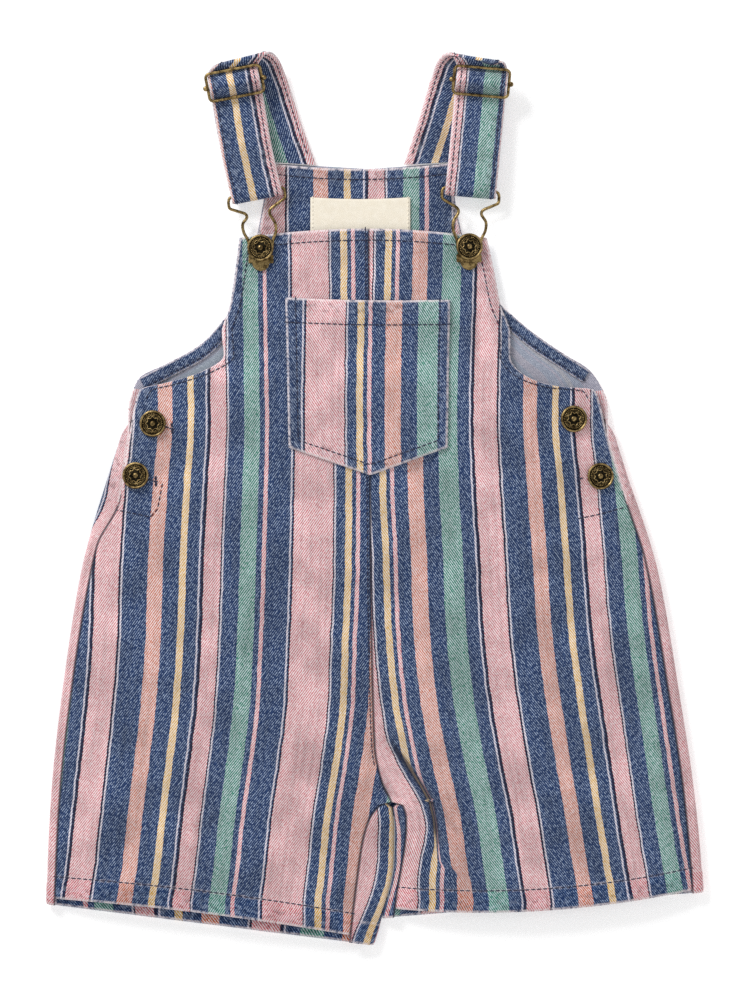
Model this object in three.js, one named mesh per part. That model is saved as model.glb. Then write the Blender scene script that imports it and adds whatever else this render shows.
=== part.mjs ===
// Child's bib overalls with short legs, laid flat on their back: millimetres, +Z up from the
// surface they lie on, +Y towards the shoulder straps, origin at the centre of their outline.
// Denim panels are thin walls over a soft hollow; the brass hooks, sliders and buttons sit on them.
import * as THREE from "three";

// ---- Driving sizes -------------------------------------------------------------------------
const panelWall = 1.2; // one layer of denim, with its turnings
const trimWall = 1.0; // facing, armhole bands and label
const strapWall = 2.4; // a strap is two layers sewn together
const strapWidth = 28.4;
const seamGap = 0.3; // between neighbouring pieces
const foldRadius = 2.8; // outside of the soft folds at the sides and inner legs
const foldTop = 2 * foldRadius;
const bibEdgeTop = 4.4; // top of the front bib at its free armhole edge
const loftReach = 28; // how fast the front rises from an edge
const wireRadius = 0.8;
const buttonRadius = 7.5;

// ---- Tables --------------------------------------------------------------------------------
// Outline of the body below the armholes, and the height that the front is lofted above its edges.
const bodySides = [
  { y: 150, left: -76, right: 62, loft: 3.6 },
  { y: 110, left: -81, right: 70, loft: 4.6 },
  { y: 88, left: -86, right: 76, loft: 5.4 },
  { y: 74, left: -97, right: 86, loft: 6.2 },
  { y: 62, left: -134, right: 126.5, loft: 6.8 },
  { y: 33, left: -142.8, right: 135, loft: 7 },
  { y: 0, left: -153.2, right: 145.4, loft: 7 },
  { y: -34, left: -163, right: 156.8, loft: 7.4 },
  { y: -102, left: -174.2, right: 169.1, loft: 7.6 },
  { y: -169, left: -181.4, right: 179.2, loft: 7.2 },
  { y: -219, left: -183.6, right: 183.6, loft: 6.2 },
  { y: -250, left: -184, right: 184.6, loft: 6 },
];
// Where the two halves part: the centre front seam, then the line between the legs.
const halves = [
  { y: 151, split: -3.6, valley: 0 },
  { y: 16, split: -2.8, valley: 0 },
  { y: -57, split: -2.2, valley: 0.25 },
  { y: -113, split: -1.1, valley: 0.55 },
  { y: -140, split: 0, valley: 0.8 },
  { y: -159, split: 4, valley: 0.95 },
  { y: -171, split: 9.5, valley: 1 },
  { y: -186, split: 11, valley: 1 },
  { y: -203, split: 10.6, valley: 1 },
  { y: -229, split: 5.4, valley: 1 },
  { y: -250, split: -0.8, valley: 1 },
];
// Inseams, which the lie of the legs turns up on to the front.
const inseams = [
  { y: -171, left: 3, right: 15.4 },
  { y: -178, left: -2.6, right: 17.4 },
  { y: -184, left: -5, right: 17.4 },
  { y: -194, left: -7.4, right: 16.6 },
  { y: -208, left: -9.4, right: 14.4 },
  { y: -225, left: -11.6, right: 11.6 },
  { y: -250, left: -14.6, right: 9.4 },
];
// Side seams, as the distance that the back wraps over on to the front.
const sideWraps = [
  { y: 62, left: 0.4, right: 1.4 },
  { y: 33, left: 2.2, right: 2.2 },
  { y: 16, left: 5, right: 3.4 },
  { y: -4, left: 8, right: 5 },
  { y: -26, left: 3, right: 6.4 },
  { y: -102, left: 2.5, right: 6 },
  { y: -230, left: 2, right: 5 },
];
// Rows of each front panel from the bib's top to the hem: outer end, inner end and bow of the row.
const frontRows = {
  left: [
    { outerX: -75.6, outerY: 145.5, innerY: 150.6, bow: 1.2 },
    { outerX: -78, outerY: 127, innerY: 131, bow: 0 },
    { outerX: -81, outerY: 108, innerY: 112, bow: 0 },
    { outerX: -85.4, outerY: 93, innerY: 96, bow: 0 },
    { outerX: -84.5, outerY: 80, innerY: 80, bow: 0 },
    { outerX: -98, outerY: 70.5, innerY: 65, bow: 0 },
    { outerX: -117, outerY: 64.6, innerY: 51, bow: 0 },
    { outerX: -131, outerY: 61, innerY: 37, bow: 0 },
    { outerX: null, outerY: 40, innerY: 18, bow: 0 },
    { outerX: null, outerY: 0, innerY: -20, bow: 0 },
    { outerX: null, outerY: -60, innerY: -80, bow: 0 },
    { outerX: null, outerY: -120, innerY: -140, bow: 0 },
    { outerX: null, outerY: -150, innerY: -169.6, bow: 0 },
    { outerX: null, outerY: -151.4, innerY: -171.2, bow: 0 },
    { outerX: null, outerY: -166, innerY: -186, bow: 0.5 },
    { outerX: null, outerY: -190, innerY: -210, bow: 1 },
    { outerX: null, outerY: -223.4, innerY: -243.6, bow: 2.4 },
  ],
  right: [
    { outerX: 62.4, outerY: 145.5, innerY: 150.6, bow: 1.2 },
    { outerX: 66.4, outerY: 127, innerY: 131, bow: 0 },
    { outerX: 70.2, outerY: 108, innerY: 112, bow: 0 },
    { outerX: 75.4, outerY: 93, innerY: 96, bow: 0 },
    { outerX: 75.6, outerY: 79, innerY: 80, bow: 0 },
    { outerX: 86, outerY: 67.5, innerY: 65, bow: 0 },
    { outerX: 103, outerY: 62.6, innerY: 51, bow: 0 },
    { outerX: 121.6, outerY: 61, innerY: 37, bow: 0 },
    { outerX: null, outerY: 40, innerY: 18, bow: 0 },
    { outerX: null, outerY: 0, innerY: -20, bow: 0 },
    { outerX: null, outerY: -60, innerY: -80, bow: 0 },
    { outerX: null, outerY: -120, innerY: -140, bow: 0 },
    { outerX: null, outerY: -150, innerY: -169.6, bow: -1 },
    { outerX: null, outerY: -151.4, innerY: -171.2, bow: -1.1 },
    { outerX: null, outerY: -166, innerY: -186, bow: -2 },
    { outerX: null, outerY: -190, innerY: -210, bow: -4 },
    { outerX: null, outerY: -218.5, innerY: -229, bow: -6 },
  ],
};
// Rows of each back panel: outer and inner ends, how far its side is folded up (curl), and how far
// its inner edge has risen to the crotch and the inner leg fold (lift).
const backRows = {
  left: [
    { outerX: -61, outerY: 187.6, innerY: 184.2, curl: 0, lift: 0 },
    { outerX: -60.6, outerY: 178, innerY: 174, curl: 0, lift: 0 },
    { outerX: -65, outerY: 151, innerY: 148, curl: 0, lift: 0 },
    { outerX: -79.8, outerY: 106, innerY: 106, curl: 0, lift: 0 },
    { outerX: -98.4, outerY: 85.6, innerY: 82, curl: 0, lift: 0 },
    { outerX: -117, outerY: 75.2, innerY: 66, curl: 0, lift: 0 },
    { outerX: -131.6, outerY: 67.6, innerY: 54, curl: 0, lift: 0 },
    { outerX: null, outerY: 57, innerY: 42, curl: 0, lift: 0 },
    { outerX: null, outerY: 45, innerY: 32, curl: 0.5, lift: 0 },
    { outerX: null, outerY: 33, innerY: 20, curl: 1, lift: 0 },
    { outerX: null, outerY: 12, innerY: -2, curl: 1, lift: 0 },
    { outerX: null, outerY: -40, innerY: -54, curl: 1, lift: 0 },
    { outerX: null, outerY: -112, innerY: -126, curl: 1, lift: 0 },
    { outerX: null, outerY: -135, innerY: -150, curl: 1, lift: 0 },
    { outerX: null, outerY: -154, innerY: -170.2, curl: 1, lift: 0.1 },
    { outerX: null, outerY: -157.4, innerY: -173.6, curl: 1, lift: 1 },
    { outerX: null, outerY: -170, innerY: -186, curl: 1, lift: 1 },
    { outerX: null, outerY: -196, innerY: -216, curl: 1, lift: 1 },
    { outerX: null, outerY: -226.6, innerY: -249.6, curl: 1, lift: 1 },
  ],
  right: [
    { outerX: 44, outerY: 187.6, innerY: 184.2, curl: 0, lift: 0 },
    { outerX: 43.4, outerY: 178, innerY: 174, curl: 0, lift: 0 },
    { outerX: 47.6, outerY: 151, innerY: 148, curl: 0, lift: 0 },
    { outerX: 70.2, outerY: 108.4, innerY: 106, curl: 0, lift: 0 },
    { outerX: 92.2, outerY: 90, innerY: 82, curl: 0, lift: 0 },
    { outerX: 106.4, outerY: 80.4, innerY: 66, curl: 0, lift: 0 },
    { outerX: 120, outerY: 71.6, innerY: 54, curl: 0, lift: 0 },
    { outerX: null, outerY: 57, innerY: 42, curl: 0, lift: 0 },
    { outerX: null, outerY: 45, innerY: 32, curl: 0.5, lift: 0 },
    { outerX: null, outerY: 33, innerY: 20, curl: 1, lift: 0 },
    { outerX: null, outerY: 12, innerY: -2, curl: 1, lift: 0 },
    { outerX: null, outerY: -40, innerY: -54, curl: 1, lift: 0 },
    { outerX: null, outerY: -112, innerY: -126, curl: 1, lift: 0 },
    { outerX: null, outerY: -135, innerY: -150, curl: 1, lift: 0 },
    { outerX: null, outerY: -154, innerY: -170.2, curl: 1, lift: 0.1 },
    { outerX: null, outerY: -157.4, innerY: -173.6, curl: 1, lift: 1 },
    { outerX: null, outerY: -170, innerY: -186, curl: 1, lift: 1 },
    { outerX: null, outerY: -192, innerY: -208, curl: 1, lift: 1 },
    { outerX: null, outerY: -220, innerY: -234.4, curl: 1, lift: 1 },
  ],
};
// A strap's middle line from the back bib, over the fold at the shoulder, down through the slider to
// the hook's bar and back up behind itself. across is the plan angle of its width, in degrees, and
// skew how much further along the strap its right edge is cut than its left.
const strapRoutes = {
  left: [
    { x: -48.4, y: 187.7, z: 1.5, across: 18, skew: -11.4 },
    { x: -54.2, y: 204, z: 1.6, across: 18, skew: -3 },
    { x: -59.2, y: 219.4, z: 2, across: 18, skew: 0 },
    { x: -63, y: 231, z: 3.4, across: 18, skew: 0 },
    { x: -66.4, y: 239.6, z: 6.4, across: 17, skew: 0 },
    { x: -69.6, y: 243.6, z: 11, across: 16, skew: 0 },
    { x: -72.8, y: 244.8, z: 15.6, across: 15, skew: 0 },
    { x: -75.8, y: 243.8, z: 16, across: 12, skew: 0 },
    { x: -79.2, y: 239.2, z: 12.2, across: 11, skew: 0 },
    { x: -78.2, y: 231.4, z: 16.4, across: 11, skew: 0 },
    { x: -77, y: 225.2, z: 9.3, across: 11, skew: 0 },
    { x: -76.2, y: 221, z: 8.3, across: 11, skew: 0 },
    { x: -71.4, y: 193, z: 9, across: 11, skew: 0 },
    { x: -66.6, y: 171.8, z: 9.6, across: 11, skew: 0 },
    { x: -66, y: 168.9, z: 8.5, across: 11, skew: 0 },
    { x: -65.8, y: 167.9, z: 6.7, across: 11, skew: 0 },
    { x: -66, y: 168.9, z: 4.9, across: 11, skew: 0 },
    { x: -66.6, y: 171.8, z: 4.1, across: 11, skew: 0 },
    { x: -71.4, y: 193, z: 4.4, across: 11, skew: 0 },
    { x: -75.8, y: 216, z: 4.6, across: 11, skew: 0 },
    { x: -77.2, y: 225, z: 5.6, across: 11, skew: 0 },
    { x: -78.2, y: 229.6, z: 9.6, across: 11, skew: 0 },
    { x: -78.4, y: 230.8, z: 11.6, across: 11, skew: 0 },
  ],
  right: [
    { x: 31.4, y: 187.7, z: 1.5, across: -19, skew: 11.4 },
    { x: 36.8, y: 204, z: 1.6, across: -19, skew: 3 },
    { x: 41.4, y: 219.4, z: 2, across: -18, skew: 0 },
    { x: 45, y: 231, z: 3.4, across: -17, skew: 0 },
    { x: 48.2, y: 239.6, z: 6.4, across: -15, skew: 0 },
    { x: 51.4, y: 243.8, z: 11, across: -13, skew: 0 },
    { x: 54.6, y: 245.2, z: 15.6, across: -11, skew: 0 },
    { x: 57.4, y: 244.8, z: 15.8, across: -7, skew: 0 },
    { x: 59.9, y: 239.8, z: 11.8, across: -5, skew: 0 },
    { x: 59.3, y: 232.2, z: 16.4, across: -5, skew: 0 },
    { x: 58.8, y: 226, z: 9.3, across: -5, skew: 0 },
    { x: 58.4, y: 221.8, z: 8.3, across: -5, skew: 0 },
    { x: 55.6, y: 193, z: 9, across: -5, skew: 0 },
    { x: 53.6, y: 173.3, z: 9.6, across: -5, skew: 0 },
    { x: 53.3, y: 170.4, z: 8.5, across: -5, skew: 0 },
    { x: 53.2, y: 169.4, z: 6.7, across: -5, skew: 0 },
    { x: 53.3, y: 170.4, z: 4.9, across: -5, skew: 0 },
    { x: 53.6, y: 173.3, z: 4.1, across: -5, skew: 0 },
    { x: 55.6, y: 193, z: 4.4, across: -5, skew: 0 },
    { x: 57.9, y: 217, z: 4.6, across: -5, skew: 0 },
    { x: 58.6, y: 226, z: 5.6, across: -5, skew: 0 },
    { x: 59.2, y: 230.6, z: 9.6, across: -5, skew: 0 },
    { x: 59.3, y: 231.8, z: 11.6, across: -5, skew: 0 },
  ],
};
const bibButtons = { left: { x: -63.6, y: 140 }, right: { x: 52.4, y: 140.6 } };
const sideButtons = [
  { name: "side_button_left_upper", x: -123.8, y: 41.8 },
  { name: "side_button_left_lower", x: -133.4, y: 12.8 },
  { name: "side_button_right_upper", x: 110.8, y: 44.4 },
  { name: "side_button_right_lower", x: 125.6, y: 12.4 },
];
const sliders = {
  left: { x: -78.2, y: 231.6, turn: 11 },
  right: { x: 59.3, y: 232.4, turn: -5 },
};

// ---- Reading the tables --------------------------------------------------------------------
// A smooth curve through one column, without overshoot, read by the column named in by.
function column(rows, by, name) {
  const points = rows.map((r) => [r[by], r[name]]).sort((a, b) => a[0] - b[0]);
  const slopes = points.slice(1).map((p, i) => (p[1] - points[i][1]) / (p[0] - points[i][0]));
  const tangents = points.map((p, i) => {
    const before = slopes[i - 1] ?? slopes[i];
    const after = slopes[i] ?? slopes[i - 1];
    return before * after <= 0 ? 0 : (2 * before * after) / (before + after);
  });
  return (at) => {
    const last = points.length - 1;
    if (at <= points[0][0]) return points[0][1];
    if (at >= points[last][0]) return points[last][1];
    const i = points.findIndex((p) => p[0] > at) - 1;
    const step = points[i + 1][0] - points[i][0];
    const t = (at - points[i][0]) / step;
    const h = [2 * t ** 3 - 3 * t ** 2 + 1, t ** 3 - 2 * t ** 2 + t];
    return (
      h[0] * points[i][1] +
      h[1] * step * tangents[i] +
      (1 - h[0]) * points[i + 1][1] +
      (t ** 3 - t ** 2) * step * tangents[i + 1]
    );
  };
}

// The table's rows again, with more of them spaced smoothly between the given ones.
function moreRows(rows, each) {
  const numbered = rows.map((r, i) => ({ ...r, i }));
  const names = Object.keys(rows[0]);
  const curves = names.map((name) => column(numbered, "i", name));
  const count = (rows.length - 1) * each + 1;
  return Array.from({ length: count }, (_, k) =>
    Object.fromEntries(names.map((name, n) => [name, curves[n](k / each)])),
  );
}

const leftSide = column(bodySides, "y", "left");
const rightSide = column(bodySides, "y", "right");
const loft = column(bodySides, "y", "loft");
const split = column(halves, "y", "split");
const valley = column(halves, "y", "valley");
const wrap = { left: column(sideWraps, "y", "left"), right: column(sideWraps, "y", "right") };
const inseam = { left: column(inseams, "y", "left"), right: column(inseams, "y", "right") };
const outward = { left: -1, right: 1 };
const edge = { left: leftSide, right: rightSide };
const sideSeam = (side, y) => edge[side](y) - outward[side] * (foldRadius + wrap[side](y));
const crotchY = inseams[0].y;

const mix = (a, b, t) => a + (b - a) * t;
const rise = (d) => 1 - Math.exp(-Math.max(0, d - foldRadius) / loftReach);

// Height of the front's outer face above the surface that the garment lies on.
function frontHeight(x, y) {
  const armhole = THREE.MathUtils.smoothstep(y, 58, 84);
  const edge = mix(foldTop, bibEdgeTop, armhole);
  const parting = Math.hypot(x - split(y), y > crotchY ? 3 : 0);
  const apart = Math.max(0, parting - foldRadius) / loftReach;
  const dip = 1 - valley(y) * Math.exp(-apart);
  return edge + loft(y) * rise(x - leftSide(y)) * rise(rightSide(y) - x) * dip;
}

// ---- Making solids -------------------------------------------------------------------------
// A closed solid between two like grids of points. The rows of a grid run across and its columns
// along; flipped is for grids whose across and along turn the other way about the outer face.
function between(outer, inner, flipped = false) {
  const rows = outer.length;
  const columns = outer[0].length;
  const index = (j, i) => j * columns + i;
  const faces = [];
  const quad = (a, b, c, d) => faces.push(...(flipped ? [a, b, c, a, c, d] : [a, c, b, a, d, c]));
  const deep = rows * columns;
  for (let j = 0; j < rows - 1; j++)
    for (let i = 0; i < columns - 1; i++) {
      const [a, b, c, d] = [index(j, i), index(j + 1, i), index(j + 1, i + 1), index(j, i + 1)];
      quad(a, b, c, d);
      quad(a + deep, d + deep, c + deep, b + deep);
    }
  const rim = [];
  for (let i = 0; i < columns - 1; i++) rim.push(index(0, i));
  for (let j = 0; j < rows - 1; j++) rim.push(index(j, columns - 1));
  for (let i = columns - 1; i > 0; i--) rim.push(index(rows - 1, i));
  for (let j = rows - 1; j > 0; j--) rim.push(index(j, 0));
  rim.forEach((a, k) => {
    const b = rim[(k + 1) % rim.length];
    quad(a, b, b + deep, a + deep);
  });
  const geometry = new THREE.BufferGeometry();
  const points = [...outer.flat(), ...inner.flat()].flatMap((p) => p.toArray());
  geometry.setAttribute("position", new THREE.Float32BufferAttribute(points, 3));
  geometry.setIndex(faces);
  return geometry;
}

// A wall of even thickness inward from a grid of points of its outer face.
function wall(grid, thickness, flipped = false) {
  const clamp = THREE.MathUtils.clamp;
  const at = (j, i) => grid[clamp(j, 0, grid.length - 1)][clamp(i, 0, grid[0].length - 1)];
  const inner = grid.map((row, j) =>
    row.map((p, i) => {
      const across = at(j, i + 1).clone().sub(at(j, i - 1));
      const along = at(j + 1, i).clone().sub(at(j - 1, i));
      const inward = across.cross(along).normalize().multiplyScalar(flipped ? thickness : -thickness);
      return p.clone().add(inward);
    }),
  );
  return between(grid, inner, flipped);
}

const steps = (count) => Array.from({ length: count + 1 }, (_, k) => k / count);

// ---- Front panels --------------------------------------------------------------------------
// The outer end of a front row: given on the armhole, and on the side seam below it.
function frontOuterX(side, row) {
  if (row.outerX !== null) return row.outerX;
  return sideSeam(side, row.outerY) - outward[side] * seamGap;
}

// The inner end of a front row: the centre front seam, and the inseam below the crotch.
function frontInnerX(side, y) {
  if (y < crotchY) return inseam[side](y) + outward[side] * seamGap;
  return split(y) + (outward[side] * seamGap) / 2;
}

function frontPanel(side) {
  const filled = frontRows[side].map((r) => ({ ...r, outerX: frontOuterX(side, r) }));
  const grid = moreRows(filled, 2).map((row) => {
    const innerX = frontInnerX(side, row.innerY);
    return steps(9).map((s) => {
      const x = mix(innerX, row.outerX, s);
      const y = mix(row.innerY, row.outerY, s) + row.bow * 4 * s * (1 - s);
      return new THREE.Vector3(x, y, frontHeight(x, y));
    });
  });
  return wall(grid, panelWall, side === "right");
}

// ---- Back panels ---------------------------------------------------------------------------
// One row of a back panel, from the inner leg or centre back, under the garment, up round the side.
function backRow(side, row) {
  const out = outward[side];
  const legGap = row.innerY < crotchY ? seamGap : seamGap / 2;
  const innerX = split(row.innerY) + out * legGap;
  const width = Math.abs(row.outerX - innerX);
  const yAt = (a) => mix(row.innerY, row.outerY, a / width);
  const place = (a, z) => new THREE.Vector3(innerX + out * a, yAt(a), z);
  const onTop = (a) => [a, frontHeight(innerX + out * a, yAt(a))];
  const arc = (angle) => [
    foldRadius * (1 - Math.cos(angle)),
    foldRadius * (1 + Math.sin(angle)),
  ];
  // How far along the row a seam is crossed.
  const reach = (seam, from) => {
    let a = from;
    for (let k = 0; k < 6; k++) a = Math.abs(seam(yAt(a)) - innerX);
    return a;
  };
  const bend = Math.PI / 3;
  const legSeam = Math.max(reach(inseam[side], 10) - 1.5 * seamGap, foldRadius + 0.6);
  const innerWrapped = [
    onTop(legSeam),
    onTop((foldRadius + legSeam) / 2),
    ...[1.5, 0.5, -0.5, -1.5].map((k) => arc(k * bend)),
  ];
  const innerFlat = steps(5).map((s) => [12 * s, 0]);
  const inner = innerFlat.map((p, k) => [0, 1].map((n) => mix(p[n], innerWrapped[k][n], row.lift)));
  const seamAt = reach((y) => sideSeam(side, y), width - 8) + 0.8 * seamGap;
  const outerWrapped = [
    ...[-1.5, -0.5, 0.5, 1.5].map((k) => {
      const [a, z] = arc(k * bend);
      return [width - a, z];
    }),
    onTop((width - foldRadius + seamAt) / 2),
    onTop(seamAt),
  ];
  const outerFlat = steps(5).map((s) => [width - 12 * (1 - s), 0]);
  const outer = outerFlat.map((p, k) => [0, 1].map((n) => mix(p[n], outerWrapped[k][n], row.curl)));
  const from = inner[5][0];
  const to = outer[0][0];
  const middle = steps(6).slice(1, -1).map((s) => [mix(from, to, s), 0]);
  return [...inner, ...middle, ...outer].map(([a, z]) => place(a, z));
}

function backPanel(side) {
  const filled = backRows[side].map((r) => ({ ...r, outerX: r.outerX ?? edge[side](r.outerY) }));
  const grid = moreRows(filled, 2).map((row) => backRow(side, row));
  return wall(grid, panelWall, side === "left");
}

// ---- Trims of cloth ------------------------------------------------------------------------
const trimBottom = panelWall + seamGap;
const trimTop = trimBottom + trimWall;

// Facing inside the top of the back bib, as wide as the bib.
function backFacing() {
  const rows = backRows.left.slice(0, 4).map((l, k) => ({ l, r: backRows.right[k] }));
  const flat = rows.map(({ l, r }) => ({
    left: l.outerX + 0.6,
    right: r.outerX - 0.6,
    ends: (l.outerY + r.outerY) / 2,
    middle: (l.innerY + r.innerY) / 2,
  }));
  flat[3] = { left: mix(flat[2].left, flat[3].left, 0.5), right: mix(flat[2].right, flat[3].right, 0.5), ends: 128, middle: 126 };
  const grid = moreRows(flat, 2).map((row) =>
    steps(10).map((s) => {
      const y = mix(row.middle, row.ends, (2 * s - 1) ** 2);
      return new THREE.Vector3(mix(row.left, row.right, s), y, trimTop);
    }),
  );
  return wall(grid, trimWall, true);
}

// Band along the inside of one back armhole.
function armholeBand(side) {
  const bandWidth = 7;
  const edge = backRows[side].slice(3, 7);
  const ends = moreRows(edge.map((r) => ({ x: r.outerX, y: r.outerY })), 3);
  const grid = ends.map((p, k) => {
    const before = ends[Math.max(k - 1, 0)];
    const after = ends[Math.min(k + 1, ends.length - 1)];
    const along = new THREE.Vector2(after.x - before.x, after.y - before.y).normalize();
    const inward = new THREE.Vector2(along.y, -along.x).multiplyScalar(outward[side]);
    return steps(2).map((s) => {
      const reach = 0.4 + bandWidth * s;
      return new THREE.Vector3(p.x + inward.x * reach, p.y + inward.y * reach, trimTop);
    });
  });
  return wall(grid, trimWall, side === "left");
}

// Patch pocket with a pointed bottom, on both front panels.
function pocket() {
  const left = { top: -49.8, bottom: -47.9 };
  const right = { top: 41.7, bottom: 40.2 };
  const topY = 112;
  const cornerY = 28.6;
  const tip = { x: -2.6, y: 13.2 };
  const grid = steps(8).map((t) =>
    steps(10).map((s) => {
      const x = mix(mix(left.top, left.bottom, t), mix(right.top, right.bottom, t), s);
      const half = x < tip.x ? tip.x - left.bottom : right.bottom - tip.x;
      const point = Math.max(0, 1 - Math.abs(x - tip.x) / half);
      const y = mix(topY, mix(cornerY, tip.y, point), t);
      return new THREE.Vector3(x, y, frontHeight(x, y) + seamGap + 0.35 + panelWall);
    }),
  );
  return wall(grid, panelWall, true);
}

// Blank woven label on the facing.
function label() {
  const width = 55.6;
  const centre = { x: -8.2, top: 168.4, bottom: 138 };
  const shape = new THREE.Shape();
  shape.moveTo(-width / 2, centre.bottom);
  shape.lineTo(width / 2, centre.bottom);
  shape.lineTo(width / 2, centre.top);
  shape.quadraticCurveTo(0, centre.top - 2, -width / 2, centre.top);
  const solid = new THREE.ExtrudeGeometry(shape, { depth: trimWall, bevelEnabled: false, curveSegments: 6 });
  return solid.translate(centre.x, 0, trimTop + seamGap);
}

// ---- Straps --------------------------------------------------------------------------------
function strap(side) {
  const route = strapRoutes[side];
  const line = new THREE.CatmullRomCurve3(
    route.map((r) => new THREE.Vector3(r.x, r.y, r.z)),
    false,
    "centripetal",
  );
  const numbered = route.map((r, i) => ({ ...r, i }));
  const angle = column(numbered, "i", "across");
  const skew = column(numbered, "i", "skew");
  const each = 3;
  const count = (route.length - 1) * each;
  const face = (way) =>
    steps(count).map((t) => {
      const centre = line.getPoint(t);
      const tangent = line.getTangent(t);
      const turn = THREE.MathUtils.degToRad(angle(t * (route.length - 1)));
      const across = new THREE.Vector3(Math.cos(turn), Math.sin(turn), 0);
      const up = across.clone().cross(tangent).normalize();
      const slant = skew(t * (route.length - 1));
      return [-0.5, 0, 0.5].map((s) =>
        centre
          .clone()
          .addScaledVector(up, (way * strapWall) / 2)
          .addScaledVector(across, s * strapWidth)
          .addScaledVector(tangent, s * slant),
      );
    });
  return between(face(1), face(-1));
}

// ---- Brass ---------------------------------------------------------------------------------
const wireSection = new THREE.Shape().absarc(0, 0, wireRadius, 0, 2 * Math.PI, false);

function wire(points, segments) {
  const path = new THREE.CatmullRomCurve3(points, false, "centripetal");
  return new THREE.ExtrudeGeometry(wireSection, {
    extrudePath: path,
    steps: segments,
    curveSegments: 4,
    bevelEnabled: false,
  });
}

// Puts a flat piece on the front's outer face, leaning as the cloth does there.
function seat(geometry, x, y, lift) {
  const h = 4;
  const slopeX = (frontHeight(x + h, y) - frontHeight(x - h, y)) / (2 * h);
  const slopeY = (frontHeight(x, y + h) - frontHeight(x, y - h)) / (2 * h);
  const normal = new THREE.Vector3(-slopeX, -slopeY, 1).normalize();
  const turn = new THREE.Quaternion().setFromUnitVectors(new THREE.Vector3(0, 0, 1), normal);
  const base = new THREE.Vector3(x, y, frontHeight(x, y)).addScaledVector(normal, lift);
  return geometry.applyQuaternion(turn).translate(base.x, base.y, base.z);
}

// Half of the wire hook, outward and up from the button's centre: from the tongue plate round the
// button, in to the neck and out to the strap's width. The last row is on the bar.
const hookHalf = [
  { out: 5.2, up: -2.8 },
  { out: 6.2, up: 0 },
  { out: 7, up: 4.4 },
  { out: 9, up: 9 },
  { out: 9.1, up: 13.6 },
  { out: 6.5, up: 18.2 },
  { out: 6.9, up: 20.2 },
  { out: 12.2, up: 23.2 },
  { out: 15.6, up: 25.2 },
  { out: 16, up: 27.4 },
  { out: 15.8, up: 29.6 },
  { out: 14.8, up: 31 },
];
function hook(side) {
  const button = bibButtons[side];
  const turned = strapRoutes[side][15];
  const angle = THREE.MathUtils.degToRad(turned.across);
  const inset = 3; // from the strap's turned end to the bar inside it
  const bar = { x: turned.x - inset * Math.sin(angle), y: turned.y + inset * Math.cos(angle) };
  const length = hookHalf[hookHalf.length - 1].up;
  const arm = (way) =>
    hookHalf.map((row) => {
      const s = row.up / length;
      const turn = angle * THREE.MathUtils.smoothstep(row.up, 12, 20);
      const x = mix(button.x, bar.x, s) + way * row.out * Math.cos(turn);
      const y = mix(button.y, bar.y, s) + way * row.out * Math.sin(turn);
      const onCloth = frontHeight(x, y) + seamGap + 0.15 + wireRadius;
      return new THREE.Vector3(x, y, mix(onCloth, turned.z, THREE.MathUtils.smoothstep(row.up, 12, 24)));
    });
  return wire([...arm(-1), ...arm(1).reverse()], 64);
}

// Stamped plate under the button, with two ears and a round tongue.
function hookPlate(side) {
  const { x, y } = bibButtons[side];
  const shape = new THREE.Shape();
  shape.moveTo(-7, -4);
  shape.lineTo(-7, -8.6);
  shape.lineTo(-5, -8.6);
  shape.absarc(0, -8, 4.9, Math.PI * 1.04, Math.PI * 1.96, false);
  shape.lineTo(5, -8.6);
  shape.lineTo(7, -8.6);
  shape.lineTo(7, -4);
  const plate = new THREE.ExtrudeGeometry(shape, { depth: 1, bevelEnabled: false, curveSegments: 10 });
  return seat(plate, x, y, seamGap + 0.1);
}

// Tack button: a rimmed cap on a short shank.
function button(x, y, shank) {
  const profile = [
    [0, 0],
    [2.4, 0],
    [2.4, shank],
    [6.6, shank],
    [buttonRadius, shank + 0.7],
    [buttonRadius, shank + 1.7],
    [6.9, shank + 2.2],
    [6.2, shank + 1.8],
    [2.2, shank + 1.9],
    [1.6, shank + 2.5],
    [0, shank + 2.7],
  ].map(([r, z]) => new THREE.Vector2(r, z));
  return seat(new THREE.LatheGeometry(profile, 24).rotateX(Math.PI / 2), x, y, seamGap);
}

// Wire slider: a rounded frame, and the bar that the strap's end is sewn round.
const sliderSize = { width: 30.8, height: 15.6, lift: 13.6, tilt: 12 };
function placeSlider(geometry, side) {
  const at = sliders[side];
  return geometry
    .rotateX(THREE.MathUtils.degToRad(sliderSize.tilt))
    .rotateZ(THREE.MathUtils.degToRad(at.turn))
    .translate(at.x, at.y, sliderSize.lift);
}
function sliderFrame(side) {
  const w = sliderSize.width / 2;
  const h = sliderSize.height / 2;
  const r = 2.4;
  const loop = new THREE.CurvePath();
  const corner = (x, y) => new THREE.Vector3(x, y, 0);
  const sides = [
    [corner(-w + r, -h), corner(w - r, -h), corner(w, -h)],
    [corner(w, -h + r), corner(w, h - r), corner(w, h)],
    [corner(w - r, h), corner(-w + r, h), corner(-w, h)],
    [corner(-w, h - r), corner(-w, -h + r), corner(-w, -h)],
  ];
  sides.forEach(([from, to, knee], k) => {
    loop.add(new THREE.LineCurve3(from, to));
    loop.add(new THREE.QuadraticBezierCurve3(to, knee, sides[(k + 1) % 4][0]));
  });
  return placeSlider(new THREE.TubeGeometry(loop, 48, wireRadius, 8, true), side);
}
function sliderBar(side) {
  const length = sliderSize.width - 2 * wireRadius - 2 * seamGap;
  return placeSlider(new THREE.CylinderGeometry(wireRadius, wireRadius, length, 8).rotateZ(Math.PI / 2), side);
}

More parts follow.
